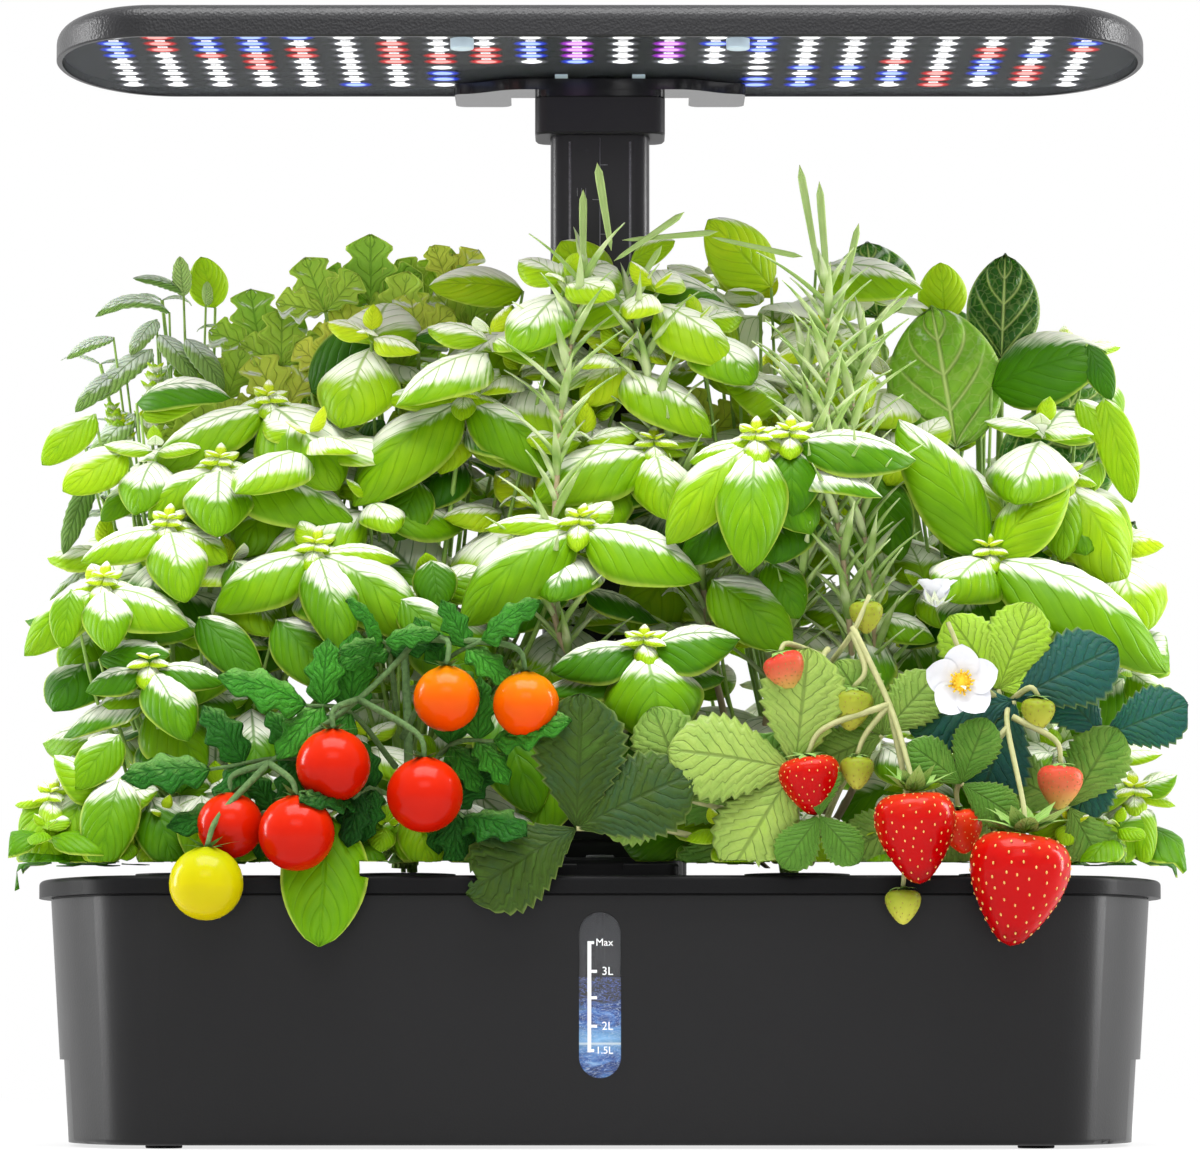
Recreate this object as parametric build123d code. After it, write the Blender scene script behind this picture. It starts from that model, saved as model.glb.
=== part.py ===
from build123d import *
import math
import os

# Countertop hydroponic garden: water tank, deck with twelve plant baskets, pump, telescopic
# column and LED lamp. Millimetres. X runs along the garden, the front faces -Y, Z is up, and
# the origin is on the floor under the middle of the tank.

# ---- Driving dimensions ----

# Water tank
tank_length = 386.8  # at the top edge, over the bowed ends
tank_depth = 160.0
tank_end_run = 44.0  # from the end of the straight walls to the tip of the bowed end
tank_corner_radius = 28.0
tank_top_z = 85.5
tank_draft = 5.3  # how far each wall leans in from top to bottom
tank_wall = 3.0
tank_floor = 3.0
tank_bottom_edge = 2.0
tank_cavity_edge = 5.0
grip_depth = 1.5
grip_width = 78.0
grip_height = 30.0

# Feet
foot_height = 1.2
foot_diameter = 12.6
foot_pocket = 0.8
foot_gap = 0.15
foot_edge = 0.3
foot_end_inset = 44.6  # from the tank's ends and sides to the feet's centres
foot_side_inset = 22.0

# Level window
window_width = 14.2
window_low_z = 23.9
window_high_z = 79.8
window_lip = 4.0
window_lip_thickness = 1.6
window_gap = 0.1  # round the pane
window_inset = 0.3  # how far the pane's face lies behind the tank's

# Deck
deck_gap = 0.7  # dark line between the tank and the deck's rim
deck_thickness = 6.1
deck_overhang = 4.2
deck_plate = 2.6
deck_edge = 1.8
deck_seat_inset = 0.6
skirt_height = 11.0
skirt_wall = 1.8
skirt_gap = 0.6
window_notch_gap = 1.0  # between the skirt and each side of the window's lip

# Plant baskets
basket_rows_y = 46.0
basket_inner_x = 68.0
basket_end_inset = 51.4  # from the tank's end to the outer baskets
basket_neck_radius = 15.0
basket_bottom_radius = 11.5
basket_length = 46.0
basket_wall = 1.2
basket_flange_reach = 3.2
basket_flange = 2.2
basket_slots = 5
basket_slot_width = 4.0
basket_slot_low = 6.0  # above the basket's bottom
basket_slot_high = 12.0  # below the deck's recess
basket_floor_ring = 3.0
hole_clearance = 0.4
hole_recess = 0.8
hole_sleeve_wall = 1.6
hole_sleeve_height = 7.0
sponge_height = 30.0
sponge_depth = 3.0  # below the basket's top
sponge_gap = 0.4
sponge_hole_radius = 2.9
sponge_hole_depth = 12.0

# Water inlet and its flap
inlet_y = -52.0
inlet_opening = (38.0, 19.0)
inlet_frame = (54.0, 33.0)
inlet_frame_height = 4.4
inlet_frame_corner = 5.0
inlet_frame_edge = 1.0
finger_notch = (16.0, 10.0)
finger_notch_lap = 3.0  # how far the notch reaches in under the flap
flap_thickness = 2.0
flap_lap = 4.0  # how far the flap reaches past the opening on each side
flap_gap = 0.4
flap_pin_radius = 0.9
flap_pin_length = 2.4
flap_pin_end_gap = 0.4
flap_corner = 3.0
thumb_dish_radius = 8.0
thumb_dish_depth = 0.8
thumb_dish_inset = 6.0
pin_clearance = 0.06

# Column: a fixed outer tube and a sliding inner one
column_y = 35.5
column_width = 36.0
column_depth = 19.0
column_corner = 6.5
column_wall = 2.0
column_gap = 0.7
column_overlap = 38.0
outer_wall = 2.2
outer_top_z = 246.0
collar_wall = 2.0
collar_height = 11.0
collar_roof = 2.4
collar_gap = 0.3
collar_edge = 1.2
glide_length = 22.0
glide_width = 12.0
glide_inset = 1.0
glide_gap = 0.08
column_groove_x = 10.9
column_groove = 0.5
groove_end = 4.0

# Foot of the column, with the power inlet at its back
pedestal_width = 62.0
pedestal_front_y = 15.0
pedestal_back_y = 66.0
pedestal_height = 16.0
pedestal_wall = 2.2
pedestal_corner = 9.0
pedestal_edge = 3.0
jack_radius = 3.1
jack_body = (9.4, 14.0, 10.6)
jack_bore_depth = 11.0
jack_gap = 0.15
jack_rest = 0.2  # height of the jack's body above the deck

# Control panel
panel_width = 58.0
panel_front_y = -25.0
panel_back_y = 11.0
panel_height = 8.0
panel_wall = 1.7
panel_corner = 7.0
panel_edge = 1.6
button_pitch = 17.0
button_offset = 3.0  # in front of the panel's middle
button_radius = 5.0
button_flange = 1.0
button_flange_reach = 1.1
button_gap = 0.25
button_proud = 1.2
button_travel = 0.6
button_edge = 0.6
button_dish = (0.8, 1.8, 1.0)  # reach at the bottom and the top, and the cone's height
board_thickness = 1.6
board_post = 1.0
board_post_radius = 2.0
board_post_x = 22.0
board_post_y = 11.0
board_gap = (2.0, 1.5)  # to the panel's inside
switch_size = 6.0
switch_gap = 0.2

# Pump, hung from the deck
pump_size = (36.0, 30.0, 26.0)
pump_y = 8.0
pump_bottom_z = 9.0
pump_chamber_depth = 9.0
pump_cover_thickness = 4.0
impeller_radius = 8.6
impeller_tip_gap = 1.4
impeller_blades = 6
impeller_hub_radius = 3.2
impeller_blade = 1.2
impeller_blade_root = 1.2  # how far each blade runs into the hub
impeller_end_gap = 0.8
shaft_front = 2.2  # how far the shaft stands out into the cover
shaft_back = 7.0
shaft_seat = 8.0
shaft_front_seat = 2.6
shaft_radius = 1.5
shaft_clearance = 0.05
pump_spout_radius = 4.0
pump_spout_bore = 2.6
pump_spout_x = 9.0
pump_spout_inset = 5.0
pump_spout_height = 10.0
pump_corner = 4.0
pump_slots = 8
pump_slot = (5.0, 1.8)
pump_slot_radius = 6.4
hanger_width = 10.0
hanger_thickness = 2.2
lead_radius = 1.6
lead_bend = 9.0
lead_start = 6.0  # behind the pump's middle
lead_rise = 18.0
lead_drop = 14.0
lead_hole_gap = 0.8
lead_top_end = 3.0  # above the deck
hanger_socket = 6.0
hanger_socket_wall = 1.6
hanger_gap = 0.1

# Lamp
lamp_length = 388.6
lamp_depth = 120.0
lamp_straight = 312.0
lamp_bottom_z = 384.0
lamp_height = 12.0
lamp_rim = 2.0
lamp_roof = 2.5
lamp_edge = 6.0
lamp_rim_edge = 0.5
lamp_inner_edge = 2.5
lamp_post_radius = 3.0
board_post_pitch = 60.0
lamp_post_y = 50.0
lamp_boss_wall = 2.4
lamp_post_root = 0.5  # how far the posts run into the roof
lens_recess = 0.5
lens_thickness = 1.0
lens_gap = 0.3
lens_lip = 1.2
lens_lip_inset = 1.6
lens_lip_end = 4.0
led_gap = 0.6
led_board_thickness = 1.6
board_rim_gap = 0.7
led_columns = 22
led_rows = 9
led_pitch_x = 16.3
led_pitch_y = 11.5
led_chip = (3.5, 2.8, 0.8)
post_radius = 4.1
post_length = 3.6
post_edge = 0.5
lens_post_x = 48.1
lens_post_inset = 8.5  # from the lamp's front edge

# Bracket and column cap
bracket_thickness = 4.0
bracket_half_width = 53.0
bracket_front_y = 22.0
bracket_end_y = 32.0
bracket_straight = 27.0  # half of the straight stretch of its front edge
bracket_tip_radius = 3.0
bracket_lobe_y = 59.0
bracket_notch_y = 40.0
bracket_lobe_inner = 32.6
bracket_lobe_radius = 4.0
cap_width = 47.2
cap_front_y = 22.6
cap_depth = 26.0
cap_corner = 5.0
cap_height = 13.3
cap_reveal = 0.5
cap_reveal_inset = 2.0
cap_edge = 0.7
cap_fit = 0.1
cap_socket = 8.0
neck_height = 2.2
pad_size = (40.0, 14.0)
pad_y = 38.0
pad_corner = 3.0
latch_x = 14.0
latch_size = (4.6, 13.0)
latch_reach = 5.5  # in front of the bracket
screw_x = 14.0
screw_y = 42.0
screw_radius = 1.5
screw_head_radius = 2.8
screw_head = 1.7
screw_bite = 0.1
screw_hole_gap = 0.3
screw_plate_gap = 0.2
screw_head_depth = 0.4
screw_tip_z = 0.7  # the screws' tips and their holes' ends, below the lamp's roof
screw_hole_end = 0.5

# Lead inside the column
coil_radius = 4.0
coil_gap = 1.0
coil_low_end = 3.6  # above the deck
coil_high_end = 0.3  # below the LED board

# Plants
stem_radius = 2.4
leaf_thickness = 1.8
leaf_droop = 12.0
foliage_gap = 0.8
foliage_front = 4.0  # how far the foliage reaches past the tank on each side
foliage_back = 2.0
foliage_side = 3.6
fruit_inset = 14.0  # foliage of the fruiting plants, behind the tank's front
stalk_radius = 1.3
stalk_gap = 0.2  # between a plant's stem and its fruit stalk
fruit_hook = (3.0, 0.6)  # how far the stalk's end starts above and ends inside a fruit
tomato_bands = 8
strawberry_slimness = 2.25  # length over radius

# ---- Worked-out sizes ----

half_length = tank_length / 2
half_depth = tank_depth / 2
half_flat = half_length - tank_end_run
tank_base_z = foot_height
foot_x = half_length - foot_end_inset
foot_y = half_depth - foot_side_inset
rim_z = tank_top_z + deck_gap
deck_top_z = rim_z + deck_thickness
deck_under_z = deck_top_z - deck_plate

# The bow of each end is an arc tangent to both corner arcs that touches the end at y = 0.
bow_run = half_length - half_flat
corner_y = half_depth - tank_corner_radius
bow_radius = (bow_run**2 + corner_y**2 - tank_corner_radius**2) / (2 * (bow_run - tank_corner_radius))
corner_turn = math.acos(corner_y / (bow_radius - tank_corner_radius))

basket_outer_x = half_length - basket_end_inset
basket_flange_radius = basket_neck_radius + basket_flange_reach
hole_radius = basket_neck_radius + hole_clearance
basket_top_z = deck_top_z - hole_recess + basket_flange
basket_bottom_z = deck_top_z - hole_recess - basket_length
sponge_top_z = basket_top_z - sponge_depth

outer_gap_width = column_width + 2 * column_gap
outer_gap_depth = column_depth + 2 * column_gap
outer_width = outer_gap_width + 2 * outer_wall
outer_depth = outer_gap_depth + 2 * outer_wall
collar_top_z = outer_top_z + collar_roof
column_bottom_z = outer_top_z - column_overlap

panel_top_z = deck_top_z + panel_height
panel_y = (panel_front_y + panel_back_y) / 2
panel_depth = panel_back_y - panel_front_y
panel_roof_z = panel_top_z - panel_wall

bracket_bottom_z = lamp_bottom_z - bracket_thickness
neck_bottom_z = bracket_bottom_z - neck_height
cap_top_z = neck_bottom_z - cap_reveal
cap_bottom_z = cap_top_z - cap_height
cap_y = cap_front_y + cap_depth / 2
screw_seat_z = neck_bottom_z + screw_head + screw_head_depth

lens_bottom_z = lamp_bottom_z + lens_recess
lens_top_z = lens_bottom_z + lens_thickness
led_bottom_z = lens_top_z + led_gap
board_bottom_z = led_bottom_z + led_chip[2]
board_top_z = board_bottom_z + led_board_thickness
lamp_top_z = lamp_bottom_z + lamp_height

pump_top_z = pump_bottom_z + pump_size[2]
pump_front_y = pump_y - pump_size[1] / 2
pump_shaft_z = pump_bottom_z + pump_size[2] / 2
pump_chamber_radius = impeller_radius + impeller_tip_gap


# ---- Shared shapes ----


def plan(grow, z):
    """Tank outline at height z, moved outward all round by grow."""
    radius = tank_corner_radius + grow

    def corner(side_x, side_y, turn):
        return (
            side_x * (half_flat + radius * math.sin(turn)),
            side_y * (corner_y + radius * math.cos(turn)),
            z,
        )

    edges = []
    for side_x, side_y in ((1, -1), (-1, 1)):
        mid, full = corner_turn / 2, corner_turn
        edges += [
            Line(corner(-side_x, side_y, 0), corner(side_x, side_y, 0)),
            ThreePointArc(*(corner(side_x, side_y, turn) for turn in (0, mid, full))),
            ThreePointArc(
                corner(side_x, side_y, full),
                (side_x * (half_length + grow), 0, z),
                corner(side_x, -side_y, full),
            ),
            ThreePointArc(*(corner(side_x, -side_y, turn) for turn in (full, mid, 0))),
        ]
    return make_face(edges)


def lean(z):
    """How far the tank wall stands in at height z."""
    return -tank_draft * (tank_top_z - z) / (tank_top_z - tank_base_z)


def drafted(inset, low_z, high_z):
    """Solid with the tank's drafted outline, set in by inset."""
    return loft([plan(lean(low_z) - inset, low_z), plan(lean(high_z) - inset, high_z)], ruled=True)


def upright(grow, low_z, high_z):
    """Solid with the tank's outline and upright walls."""
    return extrude(plan(grow, low_z), high_z - low_z, dir=(0, 0, 1))


def block(width, depth, low_z, high_z, x=0.0, y=0.0):
    return Pos(x, y, low_z) * Box(width, depth, high_z - low_z, align=(Align.CENTER, Align.CENTER, Align.MIN))


def rounded(width, depth, radius, low_z, high_z, x=0.0, y=0.0):
    return Pos(x, y, low_z) * extrude(RectangleRounded(width, depth, radius), high_z - low_z)


def disc(radius, low_z, high_z, x=0.0, y=0.0):
    return Pos(x, y, low_z) * Cylinder(
        radius, high_z - low_z, align=(Align.CENTER, Align.CENTER, Align.MIN)
    )


def window_prism(grow):
    """Upright stadium through the front wall."""
    height = window_high_z - window_low_z + 2 * grow
    width = window_width + 2 * grow
    outline = SlotOverall(height, width, rotation=90)
    middle_z = (window_low_z + window_high_z) / 2
    reach = 2 * (tank_draft + tank_wall + window_lip_thickness)
    return Pos(0, -half_depth + reach, middle_z) * (Rot(90, 0, 0) * extrude(outline, 2 * reach))


# ---- Tank ----


def make_tank():
    outer = drafted(0, tank_base_z, tank_top_z)
    outer = fillet(outer.edges().group_by(Axis.Z)[0], tank_bottom_edge)
    floor_z = tank_base_z + tank_floor
    cavity = drafted(tank_wall, floor_z, tank_top_z + 1)
    cavity = fillet(cavity.edges().group_by(Axis.Z)[0], tank_cavity_edge)
    tank = outer - cavity
    # grip recess at the foot of each end
    skin = drafted(-1, 0, grip_height) - drafted(grip_depth, 0, grip_height)
    for side in (1, -1):
        tank -= skin & block(half_length, grip_width, 0, grip_height, x=side * half_length)
    tank -= window_prism(0)
    for x in (foot_x, -foot_x):
        for y in (foot_y, -foot_y):
            tank -= disc(foot_diameter / 2 + foot_gap, 0, tank_base_z + foot_pocket, x, y)
    return tank


def make_window():
    low_z, high_z = window_low_z - 2 * window_lip, window_high_z + window_lip
    pane = drafted(window_inset, low_z, tank_top_z) - drafted(tank_wall, low_z, tank_top_z)
    lip = drafted(tank_wall, low_z, high_z) - drafted(tank_wall + window_lip_thickness, low_z, high_z)
    return (pane & window_prism(-window_gap)) + (lip & window_prism(window_lip))


def make_feet():
    pads = []
    for x in (foot_x, -foot_x):
        for y in (foot_y, -foot_y):
            pad = disc(foot_diameter / 2, 0, tank_base_z + foot_pocket, x, y)
            pads.append(chamfer(pad.edges().group_by(Axis.Z)[0], foot_edge))
    return pads


# ---- Deck ----


def basket_places():
    """Basket centres, row by row from the front, left to right."""
    for y in (-basket_rows_y, 0, basket_rows_y):
        for x in (-basket_outer_x, -basket_inner_x, basket_inner_x, basket_outer_x):
            yield x, y


def make_deck():
    slab = upright(deck_overhang, rim_z, deck_top_z)
    slab = fillet(slab.edges().group_by(Axis.Z)[-1], deck_edge)
    seat = upright(-deck_seat_inset, tank_top_z, rim_z)
    skirt_z = tank_top_z - skirt_height
    skirt = drafted(tank_wall + skirt_gap, skirt_z, tank_top_z)
    hollow = upright(lean(skirt_z) - tank_wall - skirt_gap - skirt_wall, skirt_z, deck_under_z)
    notch_width = window_width + 2 * (window_lip + window_notch_gap)
    notch_depth = 2 * (tank_draft + tank_wall + skirt_gap + skirt_wall)
    skirt -= block(notch_width, notch_depth, skirt_z, tank_top_z, y=-half_depth)
    deck = slab + seat + skirt - hollow
    for x, y in basket_places():
        sleeve_z = deck_under_z - hole_sleeve_height
        deck += disc(hole_radius + hole_sleeve_wall, sleeve_z, deck_under_z, x, y)
        deck -= disc(hole_radius, sleeve_z, deck_top_z, x, y)
        recess = basket_flange_radius + hole_clearance
        deck -= disc(recess, deck_top_z - hole_recess, deck_top_z, x, y)
    # raised frame of the water inlet, with a seat for the flap
    frame_top_z = deck_top_z + inlet_frame_height
    frame = rounded(*inlet_frame, inlet_frame_corner, deck_under_z, frame_top_z, y=inlet_y)
    deck += fillet(frame.edges().group_by(Axis.Z)[-1], inlet_frame_edge)
    deck -= block(*inlet_opening, deck_under_z - 1, frame_top_z, y=inlet_y)
    seat_width = inlet_opening[0] + 2 * (flap_lap + flap_gap)
    seat_depth = inlet_opening[1] + 2 * (flap_lap + flap_gap)
    seat_z = frame_top_z - flap_thickness
    deck -= block(seat_width, seat_depth, seat_z, frame_top_z + 1, y=inlet_y)
    pin_reach = seat_width / 2 + flap_pin_length
    bore = Cylinder(flap_pin_radius + pin_clearance, 2 * pin_reach, rotation=(0, 90, 0))
    deck -= Pos(0, flap_axis_y(), flap_axis_z()) * bore
    # finger notch in front of the flap
    notch_y = inlet_y - seat_depth / 2 + finger_notch_lap - finger_notch[1] / 2
    deck -= block(*finger_notch, seat_z, frame_top_z + 1, y=notch_y)
    # posts under the circuit board, and the hole that the leads come up through
    for x in (-1, 1):
        for y in (-1, 1):
            place = (x * board_post_x, panel_y + y * board_post_y)
            deck += disc(board_post_radius, deck_top_z, deck_top_z + board_post, *place)
    deck -= disc(lead_radius + lead_hole_gap, deck_under_z, deck_top_z, 0, column_y)
    # sockets under the plate for the pump hanger's two arms
    for side in (1, -1):
        x = side * (pump_size[0] / 2 + hanger_thickness / 2)
        slot_size = (hanger_thickness + 2 * hanger_gap, hanger_width + 2 * hanger_gap)
        socket_size = [side_size + 2 * hanger_socket_wall for side_size in slot_size]
        socket_z = deck_under_z - hanger_socket
        deck += block(*socket_size, socket_z, deck_under_z, x, pump_y)
        deck -= block(*slot_size, socket_z, deck_under_z, x, pump_y)
    return deck


def flap_axis_y():
    return inlet_y + inlet_opening[1] / 2 + flap_lap - flap_thickness / 2


def flap_axis_z():
    return deck_top_z + inlet_frame_height - flap_thickness / 2


def make_flap():
    width = inlet_opening[0] + 2 * flap_lap
    front_y = inlet_y - inlet_opening[1] / 2 - flap_lap
    axis_y, axis_z = flap_axis_y(), flap_axis_z()
    low_z = axis_z - flap_thickness / 2
    leaf = block(width, axis_y - front_y, low_z, low_z + flap_thickness, y=(front_y + axis_y) / 2)
    leaf = fillet(leaf.edges().filter_by(Axis.Z).group_by(Axis.Y)[0], flap_corner)
    barrel = Cylinder(flap_thickness / 2, width, rotation=(0, 90, 0))
    pins = Cylinder(flap_pin_radius, width + 2 * (flap_gap + flap_pin_length - flap_pin_end_gap), rotation=(0, 90, 0))
    # shallow thumb dish near the free edge
    dish_z = low_z + flap_thickness + thumb_dish_radius - thumb_dish_depth
    dish = Pos(0, front_y + thumb_dish_inset, dish_z) * Sphere(thumb_dish_radius)
    return leaf - dish + Pos(0, axis_y, axis_z) * (barrel + pins)


# ---- Baskets and plants ----


def make_basket(x, y):
    neck_z = deck_top_z - hole_recess
    top, bottom, low_z = basket_neck_radius, basket_bottom_radius, basket_bottom_z
    flange = basket_flange_radius
    profile = Polyline(
        (top - basket_wall, basket_top_z),
        (flange, basket_top_z),
        (flange, neck_z),
        (top, neck_z),
        (bottom, low_z),
        (bottom - basket_floor_ring, low_z),
        (bottom - basket_floor_ring, low_z + basket_wall),
        (bottom - basket_wall, low_z + basket_wall),
        close=True,
    )
    basket = revolve(make_face(Plane.XZ * profile), Axis.Z)
    slot_low, slot_high = low_z + basket_slot_low, neck_z - basket_slot_high
    for turn in range(basket_slots):
        slot = block(top + 2, basket_slot_width, slot_low, slot_high, x=(top + 2) / 2)
        basket -= Rot(0, 0, 360 * turn / basket_slots) * slot
    return Pos(x, y, 0) * basket


def sponge_radius(z):
    """Radius of the sponge at height z: the basket's tapered inside less a small gap."""
    inside_floor_z = basket_bottom_z + basket_wall
    share = (z - inside_floor_z) / (basket_top_z - inside_floor_z)
    outer = basket_bottom_radius + share * (basket_neck_radius - basket_bottom_radius)
    return outer - basket_wall - sponge_gap


def make_sponge(x, y):
    low_z = sponge_top_z - sponge_height
    low_radius, high_radius = sponge_radius(low_z), sponge_radius(sponge_top_z)
    sponge = Cone(low_radius, high_radius, sponge_height, align=(Align.CENTER, Align.CENTER, Align.MIN))
    sponge = Pos(0, 0, low_z) * sponge
    sponge -= disc(sponge_hole_radius, sponge_top_z - sponge_hole_depth, sponge_top_z)
    return Pos(x, y, 0) * sponge


def leaf(length, width, droop, turn, x, y, z):
    """Flat pointed leaf that starts inside the stem and droops towards its tip."""
    outline = Polyline(
        (0, -stem_radius / 2),
        (0.35 * length, -width / 2),
        (0.7 * length, -width * 0.38),
        (length, 0),
        (0.7 * length, width * 0.38),
        (0.35 * length, width / 2),
        (0, stem_radius / 2),
        close=True,
    )
    blade = extrude(make_face(outline), leaf_thickness / 2, both=True)
    return Pos(x, y, z) * Rot(0, 0, turn) * (Rot(0, droop, 0) * blade)


def make_plant(x, y, cell, whorls):
    """A stem in the sponge with whorls of four leaves that fill the plant's cell of the garden.

    cell is (left, right, front, back). Each whorl is (height above the deck, share of the cell).
    """
    left, right, front, back = cell
    foot_z = sponge_top_z - sponge_hole_depth
    top_z = deck_top_z + whorls[-1][0]
    stem = Pos(x, y, foot_z) * extrude(RegularPolygon(stem_radius, 6), top_z - foot_z)
    plant = stem
    reaches = ((0, right - x, back - front), (90, back - y, right - left))
    reaches += ((180, x - left, back - front), (270, y - front, right - left))
    for height, share in whorls:
        for turn, reach, across in reaches:
            length = (reach - foliage_gap) * share
            width = min(0.75 * length, across * 0.45)
            plant += leaf(length, width, leaf_droop, turn, x, y, deck_top_z + height)
    return plant


def tomato(x, y, top_z, radius):
    """Ball built of straight bands, which is plenty for a soft fruit."""
    angles = [math.pi * step / tomato_bands for step in range(tomato_bands + 1)]
    profile = Polyline(*((radius * math.sin(a), radius * math.cos(a)) for a in angles), close=True)
    return Pos(x, y, top_z - radius) * revolve(make_face(Plane.XZ * profile), Axis.Z)


def strawberry(x, y, top_z, radius):
    """Round shoulder that tapers to a blunt tip, hung by its top."""
    length = strawberry_slimness * radius
    profile = Polyline(
        (0, 0),
        (0.62 * radius, -0.02 * length),
        (radius, -0.28 * length),
        (0.86 * radius, -0.55 * length),
        (0.4 * radius, -0.9 * length),
        (0, -length),
        close=True,
    )
    return Pos(x, y, top_z) * revolve(make_face(Plane.XZ * profile), Axis.Z)


def stalk(*points):
    """Thin stalk in straight runs, with a knuckle where two runs meet."""
    joined = None
    for start, end in zip(points, points[1:]):
        run = Vector(*end) - Vector(*start)
        piece = Plane(origin=start, z_dir=run) * extrude(RegularPolygon(stalk_radius, 5), run.length)
        joined = piece if joined is None else joined + piece
    for point in points[1:-1]:
        joined += Pos(*point) * Box(*[1.5 * stalk_radius] * 3)
    return joined


def make_truss(fruit_shape, stem_top, rest_of_stalk, fruits):
    """Fruit on a branching stalk that hangs over the tank's front."""
    main_stalk = [stem_top, *((x, -half_depth - front, z) for x, front, z in rest_of_stalk)]
    truss = stalk(*main_stalk)
    for point, x, front, top_z, radius in fruits:
        y = -half_depth - front
        truss += fruit_shape(x, y, top_z, radius)
        truss += stalk(main_stalk[point], (x, y, top_z + fruit_hook[0]), (x, y, top_z - fruit_hook[1]))
    return truss


# ---- Pump ----


def make_pump():
    width, depth, height = pump_size
    housing = rounded(width, depth, pump_corner, pump_bottom_z, pump_top_z, y=pump_y)
    chamber = Cylinder(pump_chamber_radius, pump_chamber_depth, rotation=(90, 0, 0))
    housing -= Pos(0, pump_front_y + pump_chamber_depth / 2, pump_shaft_z) * chamber
    spout_y = pump_front_y + pump_spout_inset
    spout_top_z = pump_top_z + pump_spout_height
    housing += disc(pump_spout_radius, pump_top_z - 1, spout_top_z, pump_spout_x, spout_y)
    housing -= disc(pump_spout_bore, pump_shaft_z, spout_top_z, pump_spout_x, spout_y)
    seat = Cylinder(shaft_radius + shaft_clearance, shaft_seat, rotation=(90, 0, 0))
    back_y = pump_front_y + pump_chamber_depth
    housing -= Pos(0, back_y + shaft_seat / 2, pump_shaft_z) * seat
    return housing


def make_pump_cover():
    """Intake cover: rounded plate with a ring of slots and a seat for the shaft's front end."""
    width, _, height = pump_size
    plate = rounded(width - 2, height - 2, pump_corner, 0, pump_cover_thickness)
    for turn in range(pump_slots):
        slot = block(*pump_slot, 0, pump_cover_thickness, x=pump_slot_radius)
        plate -= Rot(0, 0, 360 * turn / pump_slots) * slot
    plate -= disc(shaft_radius + shaft_clearance, 0, shaft_front_seat)
    return Pos(0, pump_front_y, pump_shaft_z) * (Rot(90, 0, 0) * plate)


def make_impeller():
    low, high = impeller_end_gap, pump_chamber_depth - impeller_end_gap
    root = impeller_hub_radius - impeller_blade_root
    wheel = disc(impeller_hub_radius, low, high)
    for turn in range(impeller_blades):
        blade = block(impeller_radius - root, impeller_blade, low, high, x=(root + impeller_radius) / 2)
        wheel += Rot(0, 0, 360 * turn / impeller_blades) * blade
    wheel += disc(shaft_radius, -shaft_front, pump_chamber_depth + shaft_back)
    return Pos(0, pump_front_y, pump_shaft_z) * (Rot(-90, 0, 0) * wheel)


def make_hanger():
    """Two arms that clip over the pump's sides and plug into sockets under the deck."""
    half = pump_size[0] / 2
    hanger = block(2 * (half + hanger_thickness), hanger_width, pump_bottom_z - hanger_thickness,
                   pump_bottom_z, y=pump_y)
    for side in (1, -1):
        x = side * (half + hanger_thickness / 2)
        hanger += block(hanger_thickness, hanger_width, pump_bottom_z - hanger_thickness,
                        deck_under_z, x, pump_y)
    return hanger


def make_pump_lead():
    """Lead from the top of the pump up through the deck into the column's foot."""
    start = (0, pump_y + lead_start, pump_top_z)
    rise = (0, pump_y + lead_start, pump_top_z + lead_rise)
    over = (0, column_y, deck_under_z - lead_drop)
    end = (0, column_y, deck_top_z + lead_top_end)
    path = FilletPolyline(start, rise, over, end, radius=lead_bend)
    return sweep(Plane(origin=start, z_dir=(0, 0, 1)) * Circle(lead_radius), path=path)


# ---- Column, its foot and the control panel ----


def make_column_tube():
    tube = rounded(outer_width, outer_depth, column_corner + column_gap + outer_wall,
                   deck_top_z, outer_top_z, y=column_y)
    return tube - rounded(outer_gap_width, outer_gap_depth, column_corner + column_gap,
                          deck_top_z, outer_top_z, y=column_y)


def make_collar():
    width, depth = outer_width + 2 * collar_wall, outer_depth + 2 * collar_wall
    corner = column_corner + column_gap + outer_wall
    low_z = collar_top_z - collar_height
    collar = rounded(width, depth, corner + collar_wall, low_z, collar_top_z, y=column_y)
    collar = fillet(collar.edges().group_by(Axis.Z)[-1], collar_edge)
    collar -= rounded(outer_width, outer_depth, corner, low_z, outer_top_z, y=column_y)
    opening = (column_width + 2 * collar_gap, column_depth + 2 * collar_gap)
    return collar - rounded(*opening, column_corner + collar_gap, low_z, collar_top_z, y=column_y)


def make_inner_column():
    top_z = cap_bottom_z + cap_socket
    column = rounded(column_width, column_depth, column_corner, column_bottom_z, top_z, y=column_y)
    column -= rounded(column_width - 2 * column_wall, column_depth - 2 * column_wall,
                      column_corner - column_wall, column_bottom_z, top_z, y=column_y)
    front_y = column_y - column_depth / 2
    for x in (-column_groove_x, column_groove_x):
        column -= block(column_groove, 2 * column_groove, column_bottom_z + glide_length + groove_end,
                        cap_bottom_z - groove_end, x, front_y)
    return column


def make_glides():
    thickness = column_gap - glide_gap
    low_z = column_bottom_z + glide_inset
    high_z = low_z + glide_length
    pads = []
    for side in (1, -1):
        face_y = column_y + side * (column_depth + thickness) / 2
        pads.append(block(glide_width, thickness, low_z, high_z, 0, face_y))
        face_x = side * (column_width + thickness) / 2
        pads.append(block(thickness, column_depth - 2 * column_corner - 1, low_z, high_z, face_x, column_y))
    return pads


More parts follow.
